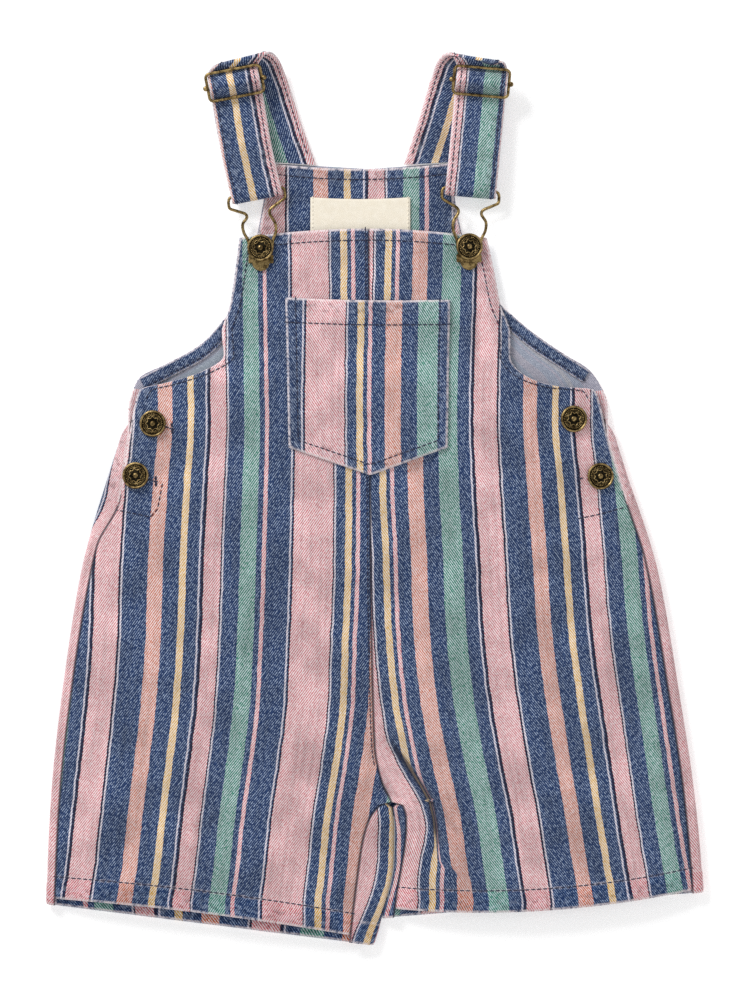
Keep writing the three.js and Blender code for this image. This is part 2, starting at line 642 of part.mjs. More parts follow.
// ---- The garment ---------------------------------------------------------------------------
const denim = new THREE.MeshStandardMaterial({ color: 0x6a6f92, roughness: 0.9, metalness: 0 });
const tape = new THREE.MeshStandardMaterial({ color: 0xf0e6cf, roughness: 0.85, metalness: 0 });
const brass = new THREE.MeshStandardMaterial({ color: 0x9a8250, roughness: 0.4, metalness: 1 });

const overalls = new THREE.Group();
function add(name, geometry, material) {
  const mesh = new THREE.Mesh(geometry, material);
  mesh.name = name;
  overalls.add(mesh);
}

for (const side of ["left", "right"]) {
  add(`front_${side}`, frontPanel(side), denim);
  add(`back_${side}`, backPanel(side), denim);
  add(`armhole_band_${side}`, armholeBand(side), denim);
  add(`strap_${side}`, strap(side), denim);
  add(`hook_${side}`, hook(side), brass);
  add(`hook_plate_${side}`, hookPlate(side), brass);
  add(`slider_frame_${side}`, sliderFrame(side), brass);
  add(`slider_bar_${side}`, sliderBar(side), brass);
  add(`bib_button_${side}`, button(bibButtons[side].x, bibButtons[side].y, 2.6), brass);
}
add("back_facing", backFacing(), denim);
add("pocket", pocket(), denim);
add("label", label(), tape);
for (const b of sideButtons) add(b.name, button(b.x, b.y, 0.6), brass);

export default overalls;
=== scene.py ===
import math

import bmesh
import bpy
import numpy as np
from mathutils import Matrix, Vector, noise
from mathutils.bvhtree import BVHTree


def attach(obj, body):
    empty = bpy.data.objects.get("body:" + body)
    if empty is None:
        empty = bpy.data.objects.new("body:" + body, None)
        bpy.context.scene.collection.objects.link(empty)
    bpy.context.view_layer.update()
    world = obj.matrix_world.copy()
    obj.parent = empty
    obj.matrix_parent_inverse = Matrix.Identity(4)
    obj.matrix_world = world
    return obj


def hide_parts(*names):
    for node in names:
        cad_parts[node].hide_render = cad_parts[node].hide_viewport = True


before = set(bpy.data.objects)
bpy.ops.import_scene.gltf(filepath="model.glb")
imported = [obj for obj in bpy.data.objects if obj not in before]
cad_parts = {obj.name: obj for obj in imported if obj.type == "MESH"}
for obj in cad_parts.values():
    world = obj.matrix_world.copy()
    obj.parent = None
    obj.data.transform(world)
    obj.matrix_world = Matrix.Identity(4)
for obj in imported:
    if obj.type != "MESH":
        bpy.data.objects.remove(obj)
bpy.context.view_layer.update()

scene = bpy.context.scene

# Lengths in the tables are millimetres; meshes are made in metres.
mm = 0.001

studio = {
    "height": 3.0, "viewWidth": 0.42, "lookY": -0.0008, "worldStrength": 0.46, "floorSide": 9.0, "floorZ": -0.0004,
}


def linear(r, g, b):
    return tuple(((c / 255 + 0.055) / 1.055) ** 2.4 if c > 10 else c / 3294 for c in (r, g, b)) + (1.0,)


def makeStudio():
    lens = bpy.data.cameras.new("viewCamera")
    lens.sensor_fit = "HORIZONTAL"
    lens.sensor_width = 36
    lens.lens = 36 * studio["height"] / studio["viewWidth"]
    lens.clip_end = 30
    camera = bpy.data.objects.new("viewCamera", lens)
    camera.location = (0, studio["lookY"], studio["height"])
    scene.collection.objects.link(camera)
    scene.camera = camera
    lamps = [
        ("keyLight", (-1.0, 1.3, 1.0), 0.7, 25),
        ("fillLight", (1.3, -0.2, 1.7), 1.6, 7),
        ("footLight", (-0.1, -1.4, 1.3), 1.4, 5),
    ]
    for name, place, side, power in lamps:
        light = bpy.data.lights.new(name, "AREA")
        light.shape = "SQUARE"
        light.size = side
        light.energy = power
        lamp = bpy.data.objects.new(name, light)
        lamp.location = place
        lamp.rotation_euler = (Vector((0, 0, 0)) - Vector(place)).to_track_quat("-Z", "Y").to_euler()
        scene.collection.objects.link(lamp)
    world = bpy.data.worlds.new("studioAir")
    world.use_nodes = True
    world.node_tree.nodes["Background"].inputs[0].default_value = (1, 1, 1, 1)
    world.node_tree.nodes["Background"].inputs[1].default_value = studio["worldStrength"]
    scene.world = world
    scene.view_settings.view_transform = "Standard"
    scene.cycles.use_denoising = False  # it would wipe the weave out
    half = studio["floorSide"] / 2
    mesh = bpy.data.meshes.new("tableTop")
    z = studio["floorZ"]
    mesh.from_pydata([(-half, -half, z), (half, -half, z), (half, half, z), (-half, half, z)], [], [(0, 1, 2, 3)])
    table = bpy.data.objects.new("tableTop", mesh)
    paper = bpy.data.materials.new("tablePaper")
    paper.use_nodes = True
    look = {
        "Base Color": (0.93, 0.93, 0.93, 1), "Roughness": 0.9,
        "Emission Color": (1, 1, 1, 1), "Emission Strength": 0.3,
    }
    for name, value in look.items():
        paper.node_tree.nodes["Principled BSDF"].inputs[name].default_value = value
    mesh.materials.append(paper)
    scene.collection.objects.link(table)


makeStudio()
print("studio ready")


# A table's rows as dictionaries, with the names of its columns first.
def table(names, *rows):
    return [dict(zip(names.split(), row)) for row in rows]


# A smooth curve through one column of a table, without overshoot.
def column(rows, by, name):
    points = sorted((row[by], row[name]) for row in rows)
    xs, ys = (np.array(v, float) for v in zip(*points))
    slopes = np.diff(ys) / np.diff(xs)
    before, after = np.append(slopes[0], slopes), np.append(slopes, slopes[-1])
    together = before * after > 0
    tangents = np.where(together, 2 * before * after / np.where(together, before + after, 1), 0)

    def at(x):
        x = np.clip(np.asarray(x, float), xs[0], xs[-1])
        i = np.clip(np.searchsorted(xs, x, side="right") - 1, 0, len(xs) - 2)
        h = xs[i + 1] - xs[i]
        t = (x - xs[i]) / h
        a = 2 * t**3 - 3 * t**2 + 1
        b = t**3 - 2 * t**2 + t
        return a * ys[i] + b * h * tangents[i] + (1 - a) * ys[i + 1] + (t**3 - t**2) * h * tangents[i + 1]

    return at


# More rows of a table at the given places between its own, numbered from 0.
def rowsAt(rows, places):
    numbered = [dict(row, i=i) for i, row in enumerate(rows)]
    return {name: column(numbered, "i", name)(places) for name in rows[0]}


def bell(x, width):
    return np.exp(-((x / width) ** 2))


def smooth(low, high, x):
    t = np.clip((np.asarray(x, float) - low) / (high - low), 0, 1)
    return t * t * (3 - 2 * t)


body = {"denim": 1.1, "foldRadius": 2.8, "bibEdgeTop": 4.4, "loftReach": 28, "seamGap": 0.12, "crotchY": -171}

# Plan of the body: its sides and how high it puffs, the middle seam, the inner legs, and how far the back wraps
# round on to the front at each side.
bodySides = table(
    "y left right loft",
    (150, -76, 62, 3.6), (110, -81, 70, 4.6), (88, -86, 76, 5.4), (74, -97, 86, 6.2), (62, -134, 126.5, 6.8),
    (33, -142.8, 135, 7), (0, -153.2, 145.4, 7), (-34, -163, 156.8, 7.4), (-102, -174.2, 169.1, 7.6),
    (-169, -181.4, 179.2, 7.2), (-219, -183.6, 183.6, 6.2), (-250, -184, 184.6, 6),
)
halves = table(
    "y split valley",
    (151, -3.6, 0), (16, -2.8, 0), (-57, -2.2, 0.25), (-113, -1.1, 0.55), (-140, 0, 0.8), (-159, 4, 0.95),
    (-171, 9.5, 1), (-186, 11, 1), (-203, 10.6, 1), (-229, 5.4, 1), (-250, -0.8, 1),
)
inseams = table(
    "y left right",
    (-171, 3, 15.4), (-178, -2.6, 17.4), (-184, -5, 17.4), (-194, -7.4, 16.6), (-208, -9.4, 14.4),
    (-225, -11.6, 11.6), (-250, -14.6, 9.4),
)
sideWraps = table(
    "y left right",
    (62, 0.4, 1.4), (33, 2.2, 2.0), (16, 5, 2.4), (-4, 8, 2.8), (-26, 3, 3.0), (-102, 2.5, 3.2), (-230, 2, 3.4),
)
# Rows of the front and back panels from top to hem: outer end, inner end, bow, and how far each end curls over
# (curl at the side, lift at the middle). An outer end on the side seam or fold takes its x from there.
onSeam = None
frontRows = {
    "left": table(
        "outerX outerY innerY bow",
        (-75.6, 145.5, 150.6, 1.2), (-78, 127, 131, 0), (-81, 108, 112, 0), (-85.4, 93, 96, 0), (-84.5, 80, 80, 0),
        (-98, 70.5, 65, 0), (-117, 64.6, 51, 0), (-131, 61, 37, 0), (onSeam, 40, 18, 0), (onSeam, 0, -20, 0),
        (onSeam, -60, -80, 0), (onSeam, -120, -140, 0), (onSeam, -150, -169.6, 0), (onSeam, -151.4, -171.2, 0),
        (onSeam, -166, -186, 0.5), (onSeam, -190, -210, 1), (onSeam, -223.4, -243.6, 2.4),
    ),
    "right": table(
        "outerX outerY innerY bow",
        (62.4, 145.5, 150.6, 1.2), (66.4, 127, 131, 0), (70.2, 108, 112, 0), (75.4, 93, 96, 0), (75.6, 79, 80, 0),
        (86, 67.5, 65, 0), (103, 62.6, 51, 0), (121.6, 61, 37, 0), (onSeam, 40, 18, 0), (onSeam, 0, -20, 0),
        (onSeam, -60, -80, 0), (onSeam, -120, -140, 0), (onSeam, -150, -169.6, -1), (onSeam, -151.4, -171.2, -1.1),
        (onSeam, -166, -186, -2), (onSeam, -190, -210, -4), (onSeam, -218.5, -229, -6),
    ),
}
backRows = {
    "left": table(
        "outerX outerY innerY curl lift",
        (-61, 187.6, 184.2, 0, 0), (-60.6, 178, 174, 0, 0), (-65, 151, 148, 0, 0), (-79.8, 106, 106, 0, 0),
        (-98.4, 85.6, 82, 0, 0), (-117, 75.2, 66, 0, 0), (-131.6, 67.6, 54, 0, 0), (onSeam, 57, 42, 0, 0),
        (onSeam, 45, 32, 0.5, 0), (onSeam, 33, 20, 1, 0), (onSeam, 12, -2, 1, 0), (onSeam, -40, -54, 1, 0),
        (onSeam, -112, -126, 1, 0), (onSeam, -135, -150, 1, 0), (onSeam, -151, -167, 1, 0),
        (onSeam, -154, -170.2, 1, 0.62), (onSeam, -156.4, -172.6, 1, 1), (onSeam, -170, -186, 1, 1),
        (onSeam, -196, -216, 1, 1),
        (onSeam, -226.6, -249.6, 1, 1),
    ),
    "right": table(
        "outerX outerY innerY curl lift",
        (44, 187.6, 184.2, 0, 0), (43.4, 178, 174, 0, 0), (47.6, 151, 148, 0, 0), (70.2, 108.4, 106, 0, 0),
        (92.2, 90, 82, 0, 0), (106.4, 80.4, 66, 0, 0), (120, 71.6, 54, 0, 0), (onSeam, 57, 42, 0, 0),
        (onSeam, 45, 32, 0.5, 0), (onSeam, 33, 20, 1, 0), (onSeam, 12, -2, 1, 0), (onSeam, -40, -54, 1, 0),
        (onSeam, -112, -126, 1, 0), (onSeam, -135, -150, 1, 0), (onSeam, -151, -167, 1, 0),
        (onSeam, -154, -170.2, 1, 0.62), (onSeam, -156.4, -172.6, 1, 1), (onSeam, -170, -186, 1, 1),
        (onSeam, -192, -208, 1, 1),
        (onSeam, -220, -234.4, 1, 1),
    ),
}

outward = {"left": -1, "right": 1}
sideAt = {side: column(bodySides, "y", side) for side in outward}
loftAt, splitAt, valleyAt = column(bodySides, "y", "loft"), column(halves, "y", "split"), column(halves, "y", "valley")
wrapAt = {side: column(sideWraps, "y", side) for side in outward}
inseamAt = {side: column(inseams, "y", side) for side in outward}


def sideSeam(side, y):
    return sideAt[side](y) - outward[side] * (body["foldRadius"] + wrapAt[side](y))


# The deep tuck that runs down from the crotch into the right leg.
crotchTuck = [
    (5.6, -128), (12.4, -141), (19.4, -151), (27.6, -163), (31.4, -170), (33.4, -180), (35, -192), (36.4, -205),
]
# Creases of the front, as paths in plan: height above (ridge) or below (trough) and half width.
frontCreases = [
    {"path": [(36, 24), (26, 18), (14, 10)], "height": -1.3, "width": 3.6},
    {"path": [(44, 20), (30, 10), (20, 4)], "height": 1.0, "width": 5},
    {"path": [(63, 130), (66, 100), (69, 66), (72, 48)], "height": 1.5, "width": 4.6},
    {"path": [(57, 120), (59, 92), (60, 62)], "height": -0.9, "width": 4},
    {"path": [(-77, 118), (-79, 92), (-80, 66)], "height": 1.1, "width": 4},
    {"path": [(-70, 112), (-72, 84), (-74, 58)], "height": -0.9, "width": 4.4},
    {"path": [(93, 56), (97, 42), (101, 24)], "height": -1.5, "width": 4.4},
    {"path": [(-104, 58), (-108, 36), (-106, 16)], "height": -1.0, "width": 5},
    {"path": crotchTuck, "height": -3.6, "width": 2.2},
    {"path": [(3, -150), (12, -168), (21, -186), (24, -206), (22, -224)], "height": 2.4, "width": 5},
    {"path": [(18, -132), (34, -154), (44, -182), (46, -206)], "height": 2.0, "width": 7},
    {"path": [(34, -170), (37.4, -177), (44, -188), (52, -199), (55, -211)], "height": -2.5, "width": 2.0},
    {"path": [(40, -168), (46, -180), (56, -192)], "height": 1.6, "width": 3.4},
    {"path": [(40, -171), (48, -182), (56, -194)], "height": 1.2, "width": 4},
    {"path": [(8, -142), (16, -156), (21, -166), (24, -178)], "height": 2.0, "width": 3.2},
    {"path": [(2, -158), (8, -165), (15, -169)], "height": -1.8, "width": 1.7},
    {"path": [(4, -168), (9, -176), (10, -188)], "height": 1.0, "width": 3},
    {"path": [(-10, -180), (-18, -198), (-24, -226)], "height": 1.6, "width": 6},
    {"path": [(-2, -166), (-20, -146), (-46, -128)], "height": 1.4, "width": 8},
    {"path": [(-1, -170), (-10, -160), (-22, -153)], "height": -1.6, "width": 2.4},
    {"path": [(-8, -176), (-32, -158), (-62, -146)], "height": -1.3, "width": 7},
    {"path": [(30, -140), (52, -126), (74, -118)], "height": 1.2, "width": 8},
    {"path": [(-134, 8), (-118, -6), (-98, -12)], "height": -1.0, "width": 6},
    {"path": [(126, 8), (112, -6), (92, -12)], "height": -1.0, "width": 6},
    {"path": [(-124, 32), (-86, 24), (-56, 28)], "height": -0.8, "width": 8},
    {"path": [(-88, -150), (-94, -196), (-98, -240)], "height": -1.1, "width": 9},
    {"path": [(112, -146), (119, -186), (122, -228)], "height": -1.1, "width": 9},
    {"path": [(-140, -110), (-149, -160), (-152, -210)], "height": 0.9, "width": 11},
    {"path": [(74, -176), (80, -200), (82, -226)], "height": 0.9, "width": 8},
    {"path": [(-40, -36), (-62, -74), (-70, -112)], "height": -0.8, "width": 11},
    {"path": [(44, -30), (60, -70), (66, -108)], "height": -0.8, "width": 11},
]
# The underside lies flat but for a few places where the cloth has lifted off the table.
underCreases = [
    {"path": [(-30, 120), (-50, 60), (-44, 0)], "height": 1.4, "width": 5},
    {"path": [(28, 130), (40, 70), (30, 10)], "height": 1.2, "width": 5},
    {"path": [(-20, -150), (-60, -110), (-110, -90)], "height": 1.6, "width": 5},
    {"path": [(30, -150), (70, -112), (120, -96)], "height": 1.5, "width": 5},
    {"path": [(-40, -170), (-54, -205), (-60, -238)], "height": 1.3, "width": 5},
    {"path": [(60, -160), (80, -195), (88, -226)], "height": 1.3, "width": 5},
    {"path": [(-140, -20), (-100, -36), (-60, -30)], "height": 1.1, "width": 6},
    {"path": [(130, -30), (96, -44), (62, -36)], "height": 1.1, "width": 6},
]


# Distance of each point from a path in plan, and how far along the path it lies, from 0 to 1.
def fromPath(x, y, path):
    best, along = np.full(x.shape, 1e9), np.zeros(x.shape)
    lengths = [math.dist(a, b) for a, b in zip(path, path[1:])]
    done = 0
    for (ax, ay), (bx, by), length in zip(path, path[1:], lengths):
        t = np.clip(((x - ax) * (bx - ax) + (y - ay) * (by - ay)) / length**2, 0, 1)
        away = np.hypot(x - ax - t * (bx - ax), y - ay - t * (by - ay))
        nearer = away < best
        best = np.where(nearer, away, best)
        along = np.where(nearer, (done + t * length) / sum(lengths), along)
        done += length
    return best, along


def creased(x, y, creases):
    height = np.zeros(x.shape)
    for crease in creases:
        away, along = fromPath(x, y, crease["path"])
        fade = np.sin(math.pi * np.clip(along, 0.03, 0.97)) ** 0.6
        height += 1.35 * crease["height"] * fade * bell(away, crease["width"])
    return height


def ripple(x, y, size, seed):
    flat = [noise.noise(Vector((px / size, py / size, seed))) for px, py in zip(x.ravel(), y.ravel())]
    return np.array(flat).reshape(x.shape)


def frontHeight(x, y):
    radius, reach = body["foldRadius"], body["loftReach"]
    edge = 2 * radius + (body["bibEdgeTop"] - 2 * radius) * smooth(58, 84, y)
    rise = lambda d: 1 - np.exp(-np.maximum(0, d - radius) / reach)
    parting = np.hypot(x - splitAt(y), np.where(y > body["crotchY"], 3, 0))
    dip = 1 - valleyAt(y) * np.exp(-np.maximum(0, parting - radius) / reach)
    return edge + loftAt(y) * rise(x - sideAt["left"](y)) * rise(sideAt["right"](y) - x) * dip


# The outer face of everything that lies on top, with its creases and the pucker of the seams.
def clothTop(x, y):
    x, y = np.asarray(x, float), np.asarray(y, float)
    height = frontHeight(x, y) + creased(x, y, frontCreases)
    height += 0.55 * ripple(x, y, 46, 3) + 0.22 * ripple(x, y, 15, 8)
    seam = np.abs(x - splitAt(y))
    above = y > body["crotchY"]
    height += np.where(above, 0.2 * ripple(x * 0.4, y, 3.6, 5) * np.exp(-seam / 5), 0)
    height -= np.where(above, 0.5 * bell(seam, 1.1), 0)
    return height


# How far the lower layer stands off the table.
def underHeight(x, y):
    x, y = np.asarray(x, float), np.asarray(y, float)
    lifted = np.maximum(creased(x, y, underCreases), 0) + 0.35 * np.maximum(ripple(x, y, 24, 21), 0)
    return 0.35 + lifted * (1 - smooth(140, 176, y))


def makeObject(name, points, faces, materials, slots=None, cut=None, marks=None):
    mesh = bpy.data.meshes.new(name)
    mesh.from_pydata((np.asarray(points, float) * mm).tolist(), [], [tuple(map(int, face)) for face in faces])
    for material in materials:
        mesh.materials.append(material)
    if slots is not None:
        mesh.polygons.foreach_set("material_index", np.asarray(slots, np.int32))
    mesh.polygons.foreach_set("use_smooth", np.ones(len(faces), bool))
    if cut is not None:
        corners = np.empty(len(mesh.loops), np.int32)
        mesh.loops.foreach_get("vertex_index", corners)
        mesh.uv_layers.new(name="cut").data.foreach_set("uv", np.asarray(cut, np.float32)[corners].ravel())
    for mark, values in (marks or {}).items():
        mesh.attributes.new(mark, "FLOAT", "POINT").data.foreach_set("value", np.asarray(values, np.float32))
    mesh.update()
    made = bpy.data.objects.new(name, mesh)
    scene.collection.objects.link(made)
    return made


def gridNormals(grid):
    across = np.gradient(grid, axis=1)
    along = np.gradient(grid, axis=0)
    normals = np.cross(across, along)
    return normals / np.maximum(np.linalg.norm(normals, axis=2, keepdims=True), 1e-9)


def gridArea(grid):
    a, b, c, d = grid[:-1, :-1], grid[1:, :-1], grid[1:, 1:], grid[:-1, 1:]
    halves = np.linalg.norm(np.cross(b - a, c - a), axis=2) + np.linalg.norm(np.cross(c - a, d - a), axis=2)
    return float(halves.sum() / 2) * mm * mm


# A closed wall inward from a grid of points on its outer face, with a rounded rim. bump thickens it outward.
def makeCloth(name, grid, thickness, flipped, cut, marks, materials, bump=0):
    rows, columns = grid.shape[:2]
    normals = gridNormals(grid) * (-1 if flipped else 1)
    outer = grid + normals * np.asarray(bump)[..., None] if np.ndim(bump) else grid
    inner = grid - normals * thickness
    index = np.arange(rows * columns).reshape(rows, columns)
    deep = rows * columns
    rim = np.concatenate([index[0, :-1], index[:-1, -1], index[-1, :0:-1], index[:0:-1, 0]])
    beyond = np.zeros_like(grid)
    beyond[0] += grid[0] - grid[1]
    beyond[-1] += grid[-1] - grid[-2]
    beyond[:, 0] += grid[:, 0] - grid[:, 1]
    beyond[:, -1] += grid[:, -1] - grid[:, -2]
    flatOuter, flatInner, flatBeyond = outer.reshape(-1, 3), inner.reshape(-1, 3), beyond.reshape(-1, 3)[rim]
    flatBeyond = flatBeyond / np.maximum(np.linalg.norm(flatBeyond, axis=1, keepdims=True), 1e-9)
    middle = (flatOuter[rim] + flatInner[rim]) / 2 + flatBeyond * 0.3 * thickness
    a, b = index[:-1, :-1].ravel(), index[1:, :-1].ravel()
    c, d = index[1:, 1:].ravel(), index[:-1, 1:].ravel()
    ring = 2 * deep + np.arange(len(rim))
    after, ringAfter = np.roll(rim, -1), np.roll(ring, -1)
    quads = [
        np.stack([a, b, c, d], 1), np.stack([a, d, c, b], 1) + deep,
        np.stack([rim, after, ringAfter, ring], 1), np.stack([ring, ringAfter, after + deep, rim + deep], 1),
    ]
    if not flipped:
        quads = [q[:, ::-1] for q in quads]
    slots = np.concatenate([np.full(len(q), k) for q, k in zip(quads, (0, 1, 0, 1))])
    if "hem" in marks:  # the hem is turned inside, so its lining shows the right side
        slots[len(a) : 2 * len(a)] = np.where(marks["hem"].ravel()[a] < denim["hemDepth"], 0, 1)
    spread = lambda values: np.concatenate([values, values, values[rim]])
    return makeObject(
        name, np.concatenate([flatOuter, flatInner, middle]), np.concatenate(quads), materials, slots,
        spread(cut.reshape(-1, 2)), {mark: spread(v.ravel()) for mark, v in marks.items()},
    )


# A round wire of the given radius along points; a closed one joins up with its start.
def sweep(points, radius, sides=10, closed=False):
    points = np.asarray(points, float)
    if closed:
        tangents = np.roll(points, -1, 0) - np.roll(points, 1, 0)
    else:
        tangents = np.gradient(points, axis=0)
    tangents /= np.linalg.norm(tangents, axis=1, keepdims=True)
    normal = np.cross(tangents[0], (0, 0, 1.0))
    if np.linalg.norm(normal) < 1e-3:
        normal = np.array((1.0, 0, 0))
    rings = []
    for centre, tangent in zip(points, tangents):
        normal = normal - tangent * normal.dot(tangent)
        normal /= np.linalg.norm(normal)
        side = np.cross(tangent, normal)
        angles = np.linspace(0, 2 * math.pi, sides, endpoint=False)[:, None]
        rings.append(centre + radius * (np.cos(angles) * normal + np.sin(angles) * side))
    count = len(points)
    made = np.concatenate(rings)
    faces = []
    for j in range(count if closed else count - 1):
        for k in range(sides):
            a, b = j * sides + k, j * sides + (k + 1) % sides
            c, d = ((j + 1) % count) * sides + (k + 1) % sides, ((j + 1) % count) * sides + k
            faces.append((a, b, c, d))
    if not closed:
        faces += [tuple(range(sides - 1, -1, -1)), tuple(range((count - 1) * sides, count * sides))]
    return made, faces


# A smooth curve through points, at places from 0 to 1.
def curveThrough(points, places):
    points = np.asarray(points, float)
    points = np.concatenate([[2 * points[0] - points[1]], points, [2 * points[-1] - points[-2]]])
    count = len(points) - 3
    made = []
    for place in np.clip(places, 0, 1):
        i = min(int(place * count), count - 1)
        t = place * count - i
        before, start, end, after = points[i : i + 4]
        gaps = [max(float(np.linalg.norm(q - p)) ** 0.5, 1e-3) for p, q in ((before, start), (start, end), (end, after))]
        leave = ((start - before) / gaps[0] - (end - before) / (gaps[0] + gaps[1]) + (end - start) / gaps[1]) * gaps[1]
        arrive = ((end - start) / gaps[1] - (after - start) / (gaps[1] + gaps[2]) + (after - end) / gaps[2]) * gaps[1]
        rest = 2 * start - 2 * end + leave + arrive
        made.append(start + leave * t + (3 * end - 3 * start - 2 * leave - arrive) * t * t + rest * t**3)
    return np.array(made)


def joined(pieces):
    points, faces, slots, done = [], [], [], 0
    for made, quads, slot in pieces:
        points.append(np.asarray(made, float))
        faces += [tuple(done + k for k in quad) for quad in quads]
        slots += [slot] * len(quads)
        done += len(made)
    return np.concatenate(points), faces, slots


# The output of a shader node, which takes sums with numbers and other outputs.
class Value:
    def __init__(self, finish, socket):
        self.finish, self.socket = finish, socket

    def maths(self, operation, other=None, turned=False):
        pair = (other, self) if turned else (self, other)
        return self.finish.add("Math", {"operation": operation}, {k: v for k, v in enumerate(pair) if v is not None})

    def __add__(self, other):
        return self.maths("ADD", other)

    def __sub__(self, other):
        return self.maths("SUBTRACT", other)

    def __rsub__(self, other):
        return self.maths("SUBTRACT", other, True)

    def __mul__(self, other):
        return self.maths("MULTIPLY", other)

    def __truediv__(self, other):
        return self.maths("DIVIDE", other)

    __radd__, __rmul__ = __add__, __mul__

    def ramped(self, low, high, toLow=0.0, toHigh=1.0):
        settings = {"interpolation_type": "SMOOTHSTEP"}
        return self.finish.add("MapRange", settings, {0: self, 1: low, 2: high, 3: toLow, 4: toHigh})


# A material being made, with short ways to add and join its nodes.
class Finish:
    def __init__(self, name):
        self.material = bpy.data.materials.new(name)
        self.material.use_nodes = True
        self.tree = self.material.node_tree
        self.shader = self.tree.nodes["Principled BSDF"]

    def add(self, kind, settings=None, sockets=None, out=0):
        node = self.tree.nodes.new("ShaderNode" + kind)
        for name, value in (settings or {}).items():
            if name == "stops":
                while len(node.color_ramp.elements) < len(value):
                    node.color_ramp.elements.new(0.5)
                for stop, (place, colour) in zip(node.color_ramp.elements, value):
                    stop.position, stop.color = place, colour
            elif name == "rampKind":
                node.color_ramp.interpolation = value
            else:
                setattr(node, name, value)
        for key, value in (sockets or {}).items():
            self.feed(node.inputs[key], value)
        made = Value(self, node.outputs[out])
        made.node = node
        return made

    def feed(self, socket, value):
        if isinstance(value, Value):
            self.tree.links.new(value.socket, socket)
        else:
            socket.default_value = value

    def mix(self, first, second, factor, kind="MIX"):
        return self.add("Mix", {"data_type": "RGBA", "blend_type": kind}, {0: factor, 6: first, 7: second}, 2)

    def grain(self, place, scale, detail=2.0, rough=0.5, stretch=None):
        if stretch:
            place = self.add("VectorMath", {"operation": "MULTIPLY"}, {0: place, 1: stretch})
        return self.add("TexNoise", {}, {"Vector": place, "Scale": scale, "Detail": detail, "Roughness": rough})

    def finished(self, **sockets):
        for name, value in sockets.items():
            words = "".join(" " + c if c.isupper() else c for c in name).strip()
            self.feed(self.shader.inputs[words[0].upper() + words[1:]], value)
        return self.material


# The woven stripe, one repeat of the cloth's width: name of the yarn and where its stripe ends.
stripes = [
    ("pink", 21.2), ("navy", 22.4), ("blue", 28.1), ("yellow", 32.3), ("blue", 34.3), ("pink", 36.8), ("blue", 44.3),
    ("orange", 52.7), ("blue", 61.7), ("green", 73.5), ("blue", 81.7), ("navy", 82.9), ("pink", 96.8), ("navy", 98.0),
    ("blue", 112), ("orange", 120.7), ("blue", 129.7), ("yellow", 133.1), ("blue", 141.6), ("navy", 142.9),
    ("pink", 151.9), ("navy", 153.2), ("blue", 162.6), ("green", 171.6), ("blue", 174.7), ("pink", 177),
    ("blue", 191.2), ("navy", 192.4),
]
# Single white warps beside the stripes.
paleThreads = {"at": (22.95, 81.15, 98.55, 141.05, 153.75, 190.65), "width": 0.95}
yarns = {
    "blue": linear(24, 56, 104), "navy": linear(26, 26, 54), "pink": linear(212, 122, 128),
    "orange": linear(216, 128, 96), "yellow": linear(232, 182, 84), "green": linear(56, 138, 114),
    "pale": linear(240, 232, 240),
}
# How much of the white weft shows through each yarn.
speckled = {"blue": 0.66, "navy": 1.0, "pink": 0.08, "orange": 0.2, "yellow": 0.16, "green": 0.3}
repeat = stripes[-1][1]


def stripeStops():
    starts = [0] + [end for _, end in stripes[:-1]]
    return [(start / repeat, yarns[yarn][:3] + (speckled[yarn],)) for start, (yarn, _) in zip(starts, stripes)]


denim = {
    "twillPitch": 1.12, "twillAcross": 0.83, "twillUp": 0.556, "bump": 0.35, "speck": 0.82, "wash": 0.24,
    "hemDepth": 12.0, "roughness": 0.93,
}


def clothPlace(finish):
    cut = finish.add("UVMap", {"uv_map": "cut"})
    split = finish.add("SeparateXYZ", {}, {0: cut})
    return cut, split, Value(finish, split.node.outputs[1])


